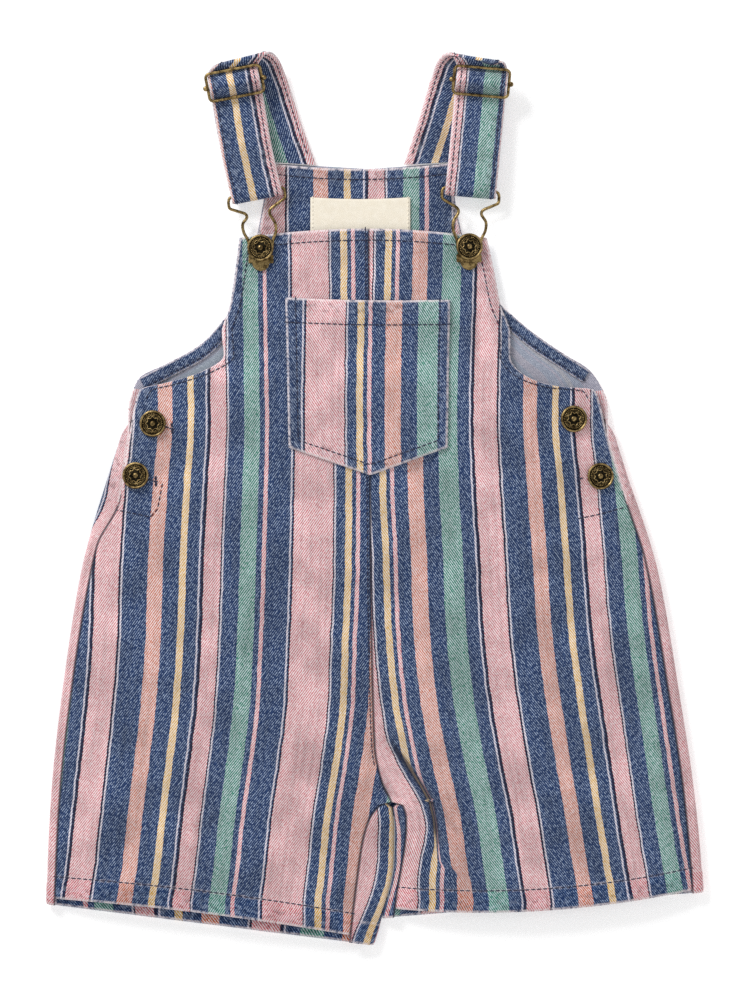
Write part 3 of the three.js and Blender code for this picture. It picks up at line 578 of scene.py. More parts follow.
def makeStripedDenim():
    f = Finish("stripedDenim")
    place, u, v = clothPlace(f)
    fine = f.grain(place, 1.6, 2.0, 0.6)
    broad = f.grain(place, 0.11, 2.0)
    shifted = u + (fine - 0.5) * 0.9 + (broad - 0.5) * 1.2
    along = (shifted / repeat).maths("FRACT")
    woven = f.add("ValToRGB", {"rampKind": "CONSTANT", "stops": stripeStops()}, {0: along})
    speckle = Value(f, woven.node.outputs[1])
    phase = (u * denim["twillAcross"] - v * denim["twillUp"] + (fine - 0.5) * 0.5) / denim["twillPitch"]
    twill = (phase * (2 * math.pi)).maths("SINE") * 0.5 + 0.5
    slant = (u * denim["twillUp"] + v * denim["twillAcross"]) * 0.62
    pick = f.grain(f.add("CombineXYZ", {}, {0: phase * 0.85, 1: slant}), 1.0, 3.0, 0.7)
    weft = (twill * 1.1 + (pick - 0.5) * 2.4 + 0.12 - 0.84 * speckle).ramped(0.42, 0.74)
    weftColour = f.mix(linear(244, 240, 238), linear(176, 198, 226), speckle * 1.3)
    coloured = f.mix(woven, weftColour, weft * (denim["speck"] - 0.16 * speckle))
    dark = ((1 - twill) * 0.9 + (0.5 - pick) * 2.2).ramped(0.4, 0.85)
    coloured = f.mix(coloured, linear(12, 24, 58), dark * (0.02 + 0.95 * speckle))
    wide = paleThreads["width"]
    lines = [(along * repeat - at).maths("ABSOLUTE").ramped(0.6 * wide, 0.4 * wide) for at in paleThreads["at"]]
    for line in lines:
        coloured = f.mix(coloured, yarns["pale"], line * (0.4 + 0.6 * twill))
    shade = f.grain(place, 0.035, 3.0, 0.6).ramped(0.3, 0.7, 1 - denim["wash"], 1 + 0.5 * denim["wash"])
    streak = f.grain(place, 1.0, 2.0, 0.5, (0.5, 0.018, 1)).ramped(0.25, 0.75, 0.9, 1.1)
    lit = shade * streak * (0.93 + 0.13 * twill)
    coloured = f.mix(coloured, f.add("CombineColor", {}, {0: lit, 1: lit, 2: lit}), 1.0, "MULTIPLY")
    edge, hem, seam = (f.add("Attribute", {"attribute_name": mark}, {}, 2) for mark in ("edge", "hem", "seam"))
    patchy = f.grain(place, 0.45, 3.0, 0.7)
    inHem = hem.ramped(denim["hemDepth"] + 0.4, denim["hemDepth"] - 0.4)
    richer = f.add("HueSaturation", {}, {"Saturation": 1.22, "Value": 0.97, "Fac": inHem, "Color": coloured})
    worn = edge.ramped(1.5, 0.3) * patchy.ramped(0.3, 0.6)
    ridge = (hem - denim["hemDepth"]).maths("ABSOLUTE").ramped(1.3, 0.2) * patchy.ramped(0.42, 0.62) * 0.5
    worn = worn.maths("MAXIMUM", ridge)
    faded = f.mix(richer, linear(240, 228, 230), worn * 0.8)
    roping = f.grain(place, 0.34, 1.0, 0.4)
    nearEdge = edge.ramped(1.4, 2.2) * edge.ramped(8.5, 6.0)
    faded = f.mix(faded, linear(196, 206, 222), nearEdge * roping.ramped(0.5, 0.66) * 0.15)
    faded = f.mix(faded, linear(10, 18, 42), nearEdge * roping.ramped(0.5, 0.34) * 0.3)
    # Dark line along the seam mark: the dark seam line where pieces join, and along the crotch tuck a painted shadow
    # where the cloth folds under.
    seamLineAndTuckShadow = seam.ramped(1.1, 0.1)
    faded = f.mix(faded, linear(24, 24, 44), seamLineAndTuckShadow * 0.8)
    height = twill * 0.6 + fine * 0.5 + pick * 0.4
    bumped = f.add("Bump", {}, {"Strength": denim["bump"], "Distance": 0.0006, "Height": height})
    f.shader.inputs["Sheen Weight"].default_value = 0.12
    return f.finished(BaseColor=faded, Roughness=denim["roughness"], Normal=bumped)


def makeWrongSide():
    f = Finish("denimWrongSide")
    place, u, v = clothPlace(f)
    fine = f.grain(place, 1.6, 2.0, 0.6)
    woven = f.add("ValToRGB", {"rampKind": "CONSTANT", "stops": stripeStops()}, {0: ((u + fine) / repeat).maths("FRACT")})
    coloured = f.mix(linear(196, 202, 214), woven, 0.12)
    phase = (u * denim["twillAcross"] + v * denim["twillUp"]) / denim["twillPitch"]
    twill = (phase * (2 * math.pi)).maths("SINE") * 0.5 + 0.5
    pick = f.grain(place, 1.0, 3.0, 0.65, (1.4, 0.9, 1))
    coloured = f.mix(coloured, linear(50, 66, 106), twill.ramped(0.3, 0.85) * pick.ramped(0.3, 0.55) * 0.85)
    bumped = f.add("Bump", {}, {"Strength": 0.4, "Distance": 0.0003, "Height": twill + fine * 0.6})
    return f.finished(BaseColor=coloured, Roughness=0.95, Normal=bumped)


def makeThread():
    f = Finish("navyThread")
    place = f.add("TexCoord", {}, {}, 3)
    strand = f.grain(place, 2600.0, 2.0, 0.6)
    return f.finished(BaseColor=f.mix(linear(26, 27, 48), linear(58, 60, 92), strand.ramped(0.4, 0.7)), Roughness=0.7)


def makeTape():
    f = Finish("creamTape")
    place = f.add("TexCoord", {}, {}, 3)
    split = f.add("SeparateXYZ", {}, {0: place})
    ribs = (split * (2 * math.pi / 0.0006)).maths("SINE") * 0.5 + 0.5
    picks = (Value(f, split.node.outputs[1]) * (2 * math.pi / 0.0005)).maths("SINE") * 0.5 + 0.5
    weave = ribs * picks
    cloudy = f.grain(place, 300.0, 3.0, 0.6)
    colour = f.mix(linear(236, 226, 206), linear(250, 244, 230), (weave * 0.5 + cloudy * 0.6).ramped(0.2, 0.8))
    bumped = f.add("Bump", {}, {"Strength": 0.3, "Distance": 0.0001, "Height": weave})
    return f.finished(BaseColor=colour, Roughness=0.8, Normal=bumped)


def makeBrass(name, bright, dark, roughness, worn):
    f = Finish(name)
    place = f.add("TexCoord", {}, {}, 3)
    patina = f.grain(place, 420.0, 4.0, 0.65)
    scratch = f.grain(place, 2400.0, 2.0, 0.6)
    colour = f.mix(dark, bright, (patina * 0.7 + scratch * 0.3).ramped(0.42 - worn, 0.62 - worn))
    bumped = f.add("Bump", {}, {"Strength": 0.15, "Distance": 0.00005, "Height": scratch})
    rough = scratch.ramped(0.3, 0.7, roughness, roughness + 0.18)
    return f.finished(BaseColor=colour, Roughness=rough, Metallic=1.0, Normal=bumped)


stripedDenim, wrongSide, thread, tape = makeStripedDenim(), makeWrongSide(), makeThread(), makeTape()
denimFaces = (stripedDenim, wrongSide)
brass = makeBrass("antiqueBrass", linear(172, 148, 100), linear(84, 68, 42), 0.3, 0.03)
darkBrass = makeBrass("darkBrassGround", linear(54, 48, 36), linear(20, 18, 14), 0.55, 0.0)
print("finishes ready")


# How far a stripe leans from upright, near the middle and at the side of each half.
leans = {
    "left": table(
        "y near far",
        (150, -2.2, 5.4), (120, -1.9, 5.4), (44, 0.2, 5.4), (10, 0.9, 2), (-34, 0.6, -1.3), (-57, 0, -2), (-79, -1.1, -2.7),
        (-113, -2.2, -5.3), (-146, -6.1, -8.9), (-180, -11.4, -12.8), (-208, -14.2, -15.9), (-225, -16.2, -18.7),
    ),
    "right": table(
        "y near far",
        (150, 0.8, -8), (122, 0.3, -9), (44, -2.5, -10), (10, -2.5, -6), (-34, -0.6, -1.7), (-57, 0, 0), (-79, 1.1, 2.2),
        (-113, 4.5, 7), (-146, 10.6, 11.8), (-180, 18.8, 16.8), (-208, 22.4, 21.6), (-225, 25, 24.5),
    ),
}
# Where in the repeat each piece starts.
stripeStart = {
    "left": 45.9, "right": 23.6, "pocket": 38.4, "facing": 147.3, "leftFold": 36.8, "rightFold": 172, "band": 181,
}
# The deep crease beside the crotch swallows some of the cloth's width.
crotchCrease = table(
    "y x hidden",
    (-134, 6, 0), (-151, 19.4, 4), (-163, 27.6, 8), (-170, 31.4, 10), (-180, 33.4, 11), (-202, 36.4, 5),
    (-214, 53, 2), (-230, 56, 0),
)


def frontStripe(side, x, y):
    far = np.clip((np.abs(x + 2.5) - 20) / 120, 0, 1)
    near, away = (column(leans[side], "y", name)(y) for name in ("near", "far"))
    u = x - near - (away - near) * far + stripeStart[side]
    if side == "right":
        beside = smooth(2, -2, x - column(crotchCrease, "y", "x")(y))
        u = u - beside * column(crotchCrease, "y", "hidden")(y)
    return u


# Places between a table's rows, so that grid rows lie about step apart.
def densePlaces(rows, step):
    places = [0.0]
    for i, (a, b) in enumerate(zip(rows, rows[1:])):
        length = max(math.hypot(b[n + "X"] - a[n + "X"], b[n + "Y"] - a[n + "Y"]) for n in ("outer", "inner"))
        count = max(1, round(length / step))
        places += [i + (k + 1) / count for k in range(count)]
    return np.array(places)


# Lengths down and across a grid, measured on it from its first row and column.
def alongRows(grid):
    return np.vstack([np.zeros((1, grid.shape[1])), np.cumsum(np.linalg.norm(np.diff(grid, axis=0), axis=2), 0)])


def alongColumns(grid):
    return np.hstack([np.zeros((grid.shape[0], 1)), np.cumsum(np.linalg.norm(np.diff(grid, axis=1), axis=2), 1)])


far = 999.0


# Marks of a piece that has edges but neither hem nor seam.
def edgeMarks(edge):
    return {"edge": edge, "hem": np.full(edge.shape, far), "seam": np.full(edge.shape, far)}


# Depths into a panel from its four sides, and from the nearest edge and seam. Above the opening's foot the outer
# side is a free edge, and below it a seam.
def panelDepths(grid, y, opening):
    down, out = alongRows(grid), alongColumns(grid)
    depths = {"hem": down[-1] - down, "top": down, "outer": out[:, -1:] - out, "inner": out}
    isOpen = y[:, -1:] > opening
    depths["free"] = np.where(isOpen, depths["outer"], far)
    edge = np.minimum(np.minimum(depths["hem"], depths["top"]), depths["free"])
    seam = np.minimum(depths["inner"], np.where(isOpen, far, depths["outer"]))
    return depths, edge, seam


front = {
    "step": 2.0, "columns": 86, "hemDepth": 12.0, "hemRise": 0.55, "sideOpening": 4.0, "topStitch": 6.2,
    "armholeStitch": 5.6,
}


def frontPlan(side, places, across):
    rows = [dict(r) for r in frontRows[side]]
    for r in rows:
        if r["outerX"] is None:
            r["outerX"] = float(sideSeam(side, r["outerY"])) - outward[side] * body["seamGap"]
        r["innerX"] = 0.0
    if places is None:
        places = densePlaces(rows, front["step"])
    at = rowsAt(rows, places)
    sewnX = sideSeam(side, at["outerY"]) - outward[side] * body["seamGap"]
    sewn = smooth(7, 8, places)
    at["outerX"] = at["outerX"] * (1 - sewn) + sewnX * sewn
    innerY = at["innerY"]
    inseamX = inseamAt[side](innerY) + outward[side] * body["seamGap"]
    seamX = splitAt(innerY) + outward[side] * body["seamGap"] / 2
    innerX = np.where(innerY < body["crotchY"], inseamX, seamX)
    s = np.asarray(across, float)[None, :]
    x = innerX[:, None] + (at["outerX"] - innerX)[:, None] * s
    y = innerY[:, None] + (at["outerY"] - innerY)[:, None] * s + at["bow"][:, None] * 4 * s * (1 - s)
    return x, y, places


def makeFront(side):
    x, y, places = frontPlan(side, None, np.linspace(0, 1, front["columns"]))
    grid = np.stack([x, y, clothTop(x, y)], axis=2)
    depths, edge, seam = panelDepths(np.stack([x, y, 0 * x], axis=2), y, front["sideOpening"])
    hem, top, outer, free = (depths[name] for name in ("hem", "top", "outer", "free"))
    # Painted shadow: the seam mark also runs along the crotch tuck, so the finish draws a dark line there for the shade
    # where the cloth folds under.
    tuckShadowDistance, along = fromPath(x, y, crotchTuck)
    seam = np.minimum(seam, 0.6 * tuckShadowDistance - 0.35 + 1.4 * (smooth(0.2, 0, along) + smooth(0.72, 1, along)))
    rise = front["hemRise"] * smooth(front["hemDepth"] + 0.5, front["hemDepth"] - 0.7, hem)
    rise = rise * (1 + 0.9 * ripple(x / 3.4, y / 30, 1.0, 31)) * smooth(-0.4, 1.6, hem)
    rise += 0.4 * smooth(6.9, 6.1, free) * smooth(-0.3, 1.5, outer)
    rise += 0.4 * smooth(7.5, 6.7, top) * smooth(-0.3, 1.5, top)
    turned = np.minimum(np.abs(hem - front["hemDepth"]), np.abs(np.minimum(free, top) - front["topStitch"]))
    rise += 0.28 * ripple(x / 2.6, y / 2.6, 1.0, 37) * bell(turned, 4)
    rise -= 0.22 * bell(turned, 0.9)
    cut = np.stack([frontStripe(side, x, y), -outward[side] * y], axis=2)
    marks = {"edge": edge, "hem": hem, "seam": seam}
    name = f"frontPanel{side.title()}"
    made = makeCloth(name, grid, body["denim"], side == "right", cut, marks, denimFaces, rise)
    return made, grid, depths


# shownWidth is the cloth from the inner fold to the side; turnedEnds, in metres, are where the cloth turns over.
back = {
    "step": 2.2, "middle": 74, "onTop": 6, "fold": 12, "flatEnd": 12, "sideOpening": -2.0,
    "shownWidth": {"left": 167, "right": 163},
    "turnedEnds": [(0.0095, -0.171), (0.131, 0.048), (-0.139, 0.048)], "turnedRound": 0.014,
}


# One row of a back panel: the points of its top fold at the middle, of its flat and of its fold at the side.
def backRow(side, row):
    out, radius = outward[side], body["foldRadius"]
    gap = body["seamGap"] * (1 if row["innerY"] < body["crotchY"] else 0.5)
    innerX = float(splitAt(row["innerY"])) + out * gap
    width = abs(row["outerX"] - innerX)
    yAt = lambda a: row["innerY"] + (row["outerY"] - row["innerY"]) * a / width
    top = lambda a: clothTop(innerX + out * a, yAt(a))

    def reach(seam, start):
        a = start
        for _ in range(6):
            a = abs(float(seam(yAt(a))) - innerX)
        return a

    angles = np.linspace(math.pi / 2, -math.pi / 2, back["fold"])
    legSeam = max(reach(inseamAt[side], 10) - 1.5 * body["seamGap"], radius + 0.6)
    onLeg = np.linspace(legSeam, radius, back["onTop"], endpoint=False)
    arcOut, arcUp = radius * (1 - np.cos(angles)), (1 + np.sin(angles)) / 2
    count = back["onTop"] + back["fold"]
    innerWrap = np.concatenate([onLeg, arcOut]), np.concatenate([top(onLeg), arcUp * top(np.array([radius]))])
    innerFlat = np.linspace(0, back["flatEnd"], count), np.zeros(count)
    inner = [f + (w - f) * row["lift"] for f, w in zip(innerFlat, innerWrap)]
    seamAt = reach(lambda y: sideSeam(side, y), width - 8) + 0.8 * body["seamGap"]
    onSide = np.linspace(width - radius, seamAt, back["onTop"] + 1)[1:]
    outerWrap = (
        np.concatenate([width - arcOut[::-1], onSide]),
        np.concatenate([arcUp[::-1] * top(np.array([width - radius])), top(onSide)]),
    )
    outerFlat = np.linspace(width - back["flatEnd"], width, count), np.zeros(count)
    outer = [f + (w - f) * row["curl"] for f, w in zip(outerFlat, outerWrap)]
    s = np.linspace(0, 1, back["middle"] + 2)[1:-1]
    middle = inner[0][-1] + (outer[0][0] - inner[0][-1]) * s
    a = np.concatenate([inner[0], middle, outer[0]])
    z = np.concatenate([inner[1], 0 * middle, outer[1]])
    folded = np.concatenate([np.full(count, row["lift"]), np.zeros(len(middle)), np.full(count, row["curl"])])
    return innerX + out * a, yAt(a), z, folded, a, width


def makeBack(side):
    rows = [dict(r) for r in backRows[side]]
    for r in rows:
        if r["outerX"] is None:
            r["outerX"] = float(sideAt[side](r["outerY"]))
        r["innerX"] = 0.0
    places = densePlaces(rows, back["step"])
    at = rowsAt(rows, places)
    made = [backRow(side, {name: values[k] for name, values in at.items()}) for k in range(len(places))]
    x, y, z, folded, across = (np.stack([m[n] for m in made]) for n in range(5))
    fromFold = np.minimum(across, np.array([m[5] for m in made])[:, None] - across)
    base = underHeight(x, y)
    lying = np.where(folded > 0.02, smooth(body["foldRadius"], 12, fromFold), 1)
    z = z + 0.35 * (1 - smooth(0, 3, z)) + (base - 0.35) * lying * (1 - smooth(0, 2, z))
    grid = np.stack([x, y, z], axis=2)
    depths, edge, seam = panelDepths(grid, y, back["sideOpening"])
    hem, out = depths["hem"], depths["inner"]
    foldAt = back["onTop"] + back["fold"] // 2
    cloth = out - out[:, foldAt : foldAt + 1]
    cloth = np.where(cloth > 0, cloth * (back["shownWidth"][side] / cloth[:, -1:]), cloth)
    if side == "left":
        u = stripeStart["leftFold"] + cloth - 3.4 * smooth(-246, -215, y)
    else:
        u = stripeStart["rightFold"] - cloth
    cut = np.stack([u, -outward[side] * y], axis=2)
    marks = {"edge": edge, "hem": hem, "seam": seam}
    rise = 0.45 * smooth(12.5, 11.3, hem) * smooth(-0.4, 1.6, hem) * smooth(1.5, 4, z)
    name = f"backPanel{side.title()}"
    made = makeCloth(name, grid, body["denim"], side == "left", cut, marks, denimFaces, rise)
    for face in made.data.polygons:  # where the cloth turns over at a seam's end it shows its right side
        if any(math.dist(face.center.xy, end) < back["turnedRound"] for end in back["turnedEnds"]):
            face.material_index = 0
    return made, grid


trim = {"gap": 0.16, "thickness": 0.9, "band": 7.0, "bandCut": 11.5, "columns": 70, "stitchIn": 5.6}


# Height of the outer face of a trim that lies on the back.
def trimZ(x, y):
    return underHeight(x, y) + body["denim"] + trim["gap"] + trim["thickness"]


def makeFacing():
    rows = [
        {"left": l["outerX"] + 0.6, "right": r["outerX"] - 0.6, "ends": (l["outerY"] + r["outerY"]) / 2,
         "middle": (l["innerY"] + r["innerY"]) / 2}
        for l, r in zip(backRows["left"][:4], backRows["right"][:4])
    ]
    lower = {name: (rows[2][name] + rows[3][name]) / 2 for name in ("left", "right")}
    rows[3] = dict(lower, ends=128, middle=126)
    at = rowsAt(rows, np.linspace(0, 3, 34))
    s = np.linspace(0, 1, trim["columns"])[None, :]
    bend = (2 * s - 1) ** 2
    x = at["left"][:, None] + (at["right"] - at["left"])[:, None] * s
    y = at["middle"][:, None] + (at["ends"] - at["middle"])[:, None] * bend
    grid = np.stack([x, y, trimZ(x, y) + 0.12 * ripple(x, y, 9, 44)], axis=2)
    down, out = alongRows(grid), alongColumns(grid)
    edge = np.minimum(np.minimum(down, down[-1] - down), np.minimum(out, out[:, -1:] - out))
    turned = np.abs(down - trim["stitchIn"])
    rise = 0.35 * smooth(6.6, 5.8, down) - 0.25 * bell(turned, 0.9) + 0.2 * ripple(x, y, 3.2, 46) * bell(turned, 4)
    cut = np.stack([x + stripeStart["facing"], y], axis=2)
    made = makeCloth("backFacing", grid, trim["thickness"], True, cut, edgeMarks(edge), denimFaces, rise)
    return made, grid, {"top": down}


def makeBand(side):
    rows = [{"x": r["outerX"], "y": r["outerY"]} for r in backRows[side][3:7]]
    at = rowsAt(rows, np.linspace(0, 3, 48))
    line = np.stack([at["x"], at["y"]], axis=1)
    along = np.gradient(line, axis=0)
    along /= np.linalg.norm(along, axis=1, keepdims=True)
    inward = np.stack([along[:, 1], -along[:, 0]], axis=1) * outward[side]
    reach = 0.4 + trim["band"] * np.linspace(0, 1, 9)
    x = line[:, None, 0] + inward[:, None, 0] * reach
    y = line[:, None, 1] + inward[:, None, 1] * reach
    grid = np.stack([x, y, trimZ(x, y) + 0.15 * ripple(x, y, 4, 51)], axis=2)
    down, out = alongRows(grid), alongColumns(grid)
    cut = np.stack([stripeStart["band"] + 1.3 * out, down], axis=2)
    edge = np.minimum(out, out[:, -1:] - out)
    turned = out - trim["stitchIn"]
    rise = 0.3 * ripple(x, y, 3.4, 53) * bell(turned, 3) - 0.25 * bell(turned, 0.8)
    name = f"armholeBand{side.title()}"
    made = makeCloth(name, grid, trim["thickness"], side == "left", cut, edgeMarks(edge + 0.6), denimFaces, rise)
    return made, grid, {"outer": out}


stay = {"x": 9.5, "y": -171.0, "width": 15.0, "height": 13.0, "z": 3.1, "stripe": 105}


# A square of cloth sewn inside where the four seams of the crotch meet.
def makeStay():
    s, t = np.meshgrid(np.linspace(-0.5, 0.5, 15), np.linspace(-0.5, 0.5, 13))
    x, y = stay["x"] + s * stay["width"], stay["y"] - t * stay["height"]
    grid = np.stack([x, y, stay["z"] + 0.25 * ripple(x, y, 3, 91)], axis=2)
    cut = np.stack([stay["stripe"] + 6 * s, y], axis=2)
    return makeCloth("crotchStay", grid, trim["thickness"], True, cut, edgeMarks(np.full(x.shape, far)), denimFaces)


pocket = {
    "topLeft": -49.8, "bottomLeft": -47.9, "topRight": 41.7, "bottomRight": 40.2, "topY": 112.0, "cornerY": 28.6,
    "tipX": -2.6, "tipY": 13.2, "topHem": 13.5, "stitchIn": 5.4, "gap": 0.2,
}


def pocketPlan(s, t):
    p = pocket
    left = p["topLeft"] + (p["bottomLeft"] - p["topLeft"]) * t
    right = p["topRight"] + (p["bottomRight"] - p["topRight"]) * t
    x = left * (1 - s) + right * s
    half = np.where(x < p["tipX"], p["tipX"] - p["bottomLeft"], p["bottomRight"] - p["tipX"])
    point = np.maximum(0, 1 - np.abs(x - p["tipX"]) / half)
    bottom = p["cornerY"] + (p["tipY"] - p["cornerY"]) * point
    topLine = p["topY"] - 1.2 * s - 0.9 * np.sin(math.pi * s)
    return x, topLine + (bottom - topLine) * t


def makePocket():
    s, t = np.meshgrid(np.linspace(0, 1, 62), np.linspace(0, 1, 66))
    x, y = pocketPlan(s, t)
    puff = 0.9 * np.sin(math.pi * s) ** 0.7 * np.sin(math.pi * np.clip(t, 0, 1)) ** 0.7
    grid = np.stack([x, y, clothTop(x, y) + pocket["gap"] + body["denim"] + puff], axis=2)
    flat = np.stack([x, y, 0 * x], axis=2)
    down, out = alongRows(flat), alongColumns(flat)
    side = np.minimum(out, out[:, -1:] - out)
    bottom = (down[-1] - down) * 0.95
    edge = np.minimum(np.minimum(down, bottom), side)
    around, topHem, stitchIn = np.minimum(side, bottom), pocket["topHem"], pocket["stitchIn"]
    turned = np.minimum(np.abs(down - topHem), np.where(down > topHem, np.abs(around - stitchIn), far))
    rise = 0.5 * smooth(topHem + 0.8, topHem - 0.4, down) * smooth(-0.3, 1.4, down)
    rise += 0.4 * smooth(stitchIn + 1.0, stitchIn + 0.2, around)
    rise += 0.3 * ripple(x, y, 3.2, 61) * bell(turned, 3.6) - 0.26 * bell(turned, 0.9)
    cut = np.stack([x + 0.6 * np.sin(y / 30) + stripeStart["pocket"], -y], axis=2)
    made = makeCloth("pocket", grid, body["denim"], True, cut, edgeMarks(edge), denimFaces, rise)
    return made, grid, {"top": down, "bottom": bottom, "left": out, "right": out[:, -1:] - out}


label = {"width": 55.6, "middleX": -8.2, "top": 168.4, "bottom": 138.0, "sag": 1.0, "thickness": 0.6, "gap": 0.55}


def makeLabel():
    s, t = np.meshgrid(np.linspace(0, 1, 45), np.linspace(0, 1, 26))
    x = label["middleX"] + label["width"] * (s - 0.5)
    topLine = label["top"] - label["sag"] * 4 * s * (1 - s)
    y = topLine + (label["bottom"] - topLine) * t
    z = trimZ(x, y) + label["gap"] + label["thickness"] + 0.16 * ripple(x, y, 11, 71) + 0.12 * np.cos(s * 2 * math.pi)
    grid = np.stack([x, y, z], axis=2)
    cut = np.stack([x, y], axis=2)
    out = alongColumns(grid)
    made = makeCloth("label", grid, label["thickness"], True, cut, {"edge": np.full(x.shape, far)}, (tape, tape))
    return made, grid, {"left": out, "right": out[:, -1:] - out}


frontMade = {side: makeFront(side) for side in outward}
backMade = {side: makeBack(side) for side in outward}
bandMade = {side: makeBand(side) for side in outward}
facingMade, pocketMade, labelMade, stayMade = makeFacing(), makePocket(), makeLabel(), makeStay()
print("panels and trims ready")


# The middle line of each strap from its root, through the slider, round the hook's bar and back, with the turn of
# its width in plan and how far its ends are cut askew.
strapRoutes = {
    "left": table(
        "x y z across skew",
        (-48.4, 187.7, 1.5, 18, -11.4), (-54.2, 204, 1.6, 18, -3), (-59.2, 219.4, 2, 18, 0), (-63, 231, 3.4, 18, 0),
        (-66.4, 239.6, 6.4, 17, 0), (-69.6, 243.6, 11, 16, 0), (-72.8, 244.8, 15.6, 15, 0), (-75.8, 243.8, 16, 12, 0),
        (-79.2, 239.2, 12.2, 11, 0), (-78.2, 231.4, 16.4, 11, 0), (-77, 225.2, 9.3, 11, 0), (-76.2, 221, 8.3, 11, 0),
        (-71.4, 193, 9, 11, 0), (-66.6, 171.8, 9.6, 11, 0), (-66, 168.9, 8.5, 11, 0), (-65.8, 167.9, 6.7, 11, 0),
        (-66, 168.9, 4.9, 11, 0), (-66.6, 171.8, 4.1, 11, 0), (-71.4, 193, 4.4, 11, 0), (-75.8, 216, 4.6, 11, 0),
        (-77.2, 225, 5.6, 11, 0), (-78.2, 229.6, 9.6, 11, 0), (-78.4, 230.8, 11.6, 11, 0),
    ),
    "right": table(
        "x y z across skew",
        (31.4, 187.7, 1.5, -19, 11.4), (36.8, 204, 1.6, -19, 3), (41.4, 219.4, 2, -18, 0), (45, 231, 3.4, -17, 0),
        (48.2, 239.6, 6.4, -15, 0), (51.4, 243.8, 11, -13, 0), (54.6, 245.2, 15.6, -11, 0), (57.4, 244.8, 15.8, -7, 0),
        (59.9, 239.8, 11.8, -5, 0), (59.3, 232.2, 16.4, -5, 0), (58.8, 226, 9.3, -5, 0), (58.4, 221.8, 8.3, -5, 0),
        (55.6, 193, 9, -5, 0), (53.6, 173.3, 9.6, -5, 0), (53.3, 170.4, 8.5, -5, 0), (53.2, 169.4, 6.7, -5, 0),
        (53.3, 170.4, 4.9, -5, 0), (53.6, 173.3, 4.1, -5, 0), (55.6, 193, 4.4, -5, 0), (57.9, 217, 4.6, -5, 0),
        (58.6, 226, 5.6, -5, 0), (59.2, 230.6, 9.6, -5, 0), (59.3, 231.8, 11.6, -5, 0),
    ),
}
strap = {"width": 28.4, "wall": 2.3, "each": 11, "across": 17, "stitchIn": 2.6, "turnedEnd": 15}
# Where the stripes of the strap's outer and inner side start at its left edge, and which way they run.
strapStripes = {"left": {"outer": (119.6, 1), "inner": (59.6, 1)}, "right": {"outer": (147.4, 1), "inner": (148, -1)}}


def strapLine(side):
    route = strapRoutes[side]
    last = len(route) - 1
    places = np.linspace(0, last, last * strap["each"] + 1)
    centres = curveThrough([(r["x"], r["y"], r["z"]) for r in route], places / last)
    at = rowsAt(route, places)
    tangents = np.gradient(centres, axis=0)
    tangents /= np.linalg.norm(tangents, axis=1, keepdims=True)
    turn = np.radians(at["across"])
    across = np.stack([np.cos(turn), np.sin(turn), 0 * turn], axis=1)
    up = np.cross(across, tangents)
    up /= np.linalg.norm(up, axis=1, keepdims=True)
    return places, centres, tangents, across, up, at["skew"]


def strapPoint(line, k, s, high):
    _, centres, tangents, across, up, skew = line
    return centres[k] + up[k] * high + across[k] * s * strap["width"] + tangents[k] * s * skew[k]


def makeStrap(side):
    line = strapLine(side)
    count = len(line[0])
    lengths = np.concatenate([[0], np.cumsum(np.linalg.norm(np.diff(line[1], axis=0), axis=1))])
    half, wall = strap["across"], strap["wall"]
    sides = np.linspace(-0.5, 0.5, half)
    inset = strap["width"] * (0.5 - np.abs(sides))
    high = wall / 2 * (0.35 + 0.65 * smooth(-0.9, 1.4, inset)) - 0.2 * bell(inset - strap["stitchIn"], 0.8)
    loop = [(s, h, 0) for s, h in zip(sides, high)] + [(s, -h, 1) for s, h in zip(sides[::-1], high[::-1])]
    size = len(loop)
    points, cut, edge = [], [], []
    for k in range(count):
        bumpy = [0.14 * noise.noise(Vector((s * 7, lengths[k] / 3.4, 80 + f))) for s, _, f in loop]
        for (s, h, face), b in zip(loop, bumpy):
            points.append(strapPoint(line, k, s, h + b * (1 if face == 0 else -1)))
            start, way = strapStripes[side]["inner" if face == 0 else "outer"]
            cut.append((start + way * (s + 0.5) * strap["width"], lengths[k] * -outward[side]))
            edge.append(strap["width"] * (0.5 - abs(s)))
    faces = []
    for j in range(count - 1):
        for k in range(size):
            a, b = j * size + k, j * size + (k + 1) % size
            faces.append((b, b + size, a + size, a))
    faces += [tuple(range(size - 1, -1, -1))[::-1], tuple(range((count - 1) * size, count * size))[::-1]]
    marks = edgeMarks(np.array(edge) + 0.1)
    made = makeObject(f"strap{side.title()}", points, faces, (stripedDenim,), None, np.array(cut), marks)
    return made, line, lengths[-1]


strapMade = {side: makeStrap(side) for side in outward}
print("straps ready")


# Turned shape about +Z from rows of radius, height and finish.
def lathe(profile, segments=56):
    points, rings, faces, slots = [], [], [], []
    for radius, height, _ in profile:
        count = 1 if radius == 0 else segments
        rings.append([len(points) + k for k in range(count)])
        for k in range(count):
            angle = 2 * math.pi * k / segments
            points.append((radius * math.cos(angle), radius * math.sin(angle), height))
    for (low, high), row in zip(zip(rings, rings[1:]), profile[1:]):
        for k in range(segments):
            after = (k + 1) % segments
            quad = [low[k % len(low)], low[after % len(low)], high[after % len(high)], high[k % len(high)]]
            faces.append(tuple(dict.fromkeys(quad)))
            slots.append(row[2])
    return np.array(points), faces, slots


# Puts a piece made about the origin on the front's outer face, leaning as the cloth does there.
def seated(points, x, y, lift):
    h = 4
    slopes = [float(frontHeight(x + dx, y + dy) - frontHeight(x - dx, y - dy)) / (2 * h) for dx, dy in ((h, 0), (0, h))]
    normal = Vector((-slopes[0], -slopes[1], 1)).normalized()
    turn = np.array(Vector((0, 0, 1)).rotation_difference(normal).to_matrix())
    base = np.array((x, y, float(clothTop(x, y)))) + np.array(normal) * lift
    return np.asarray(points) @ turn.T + base


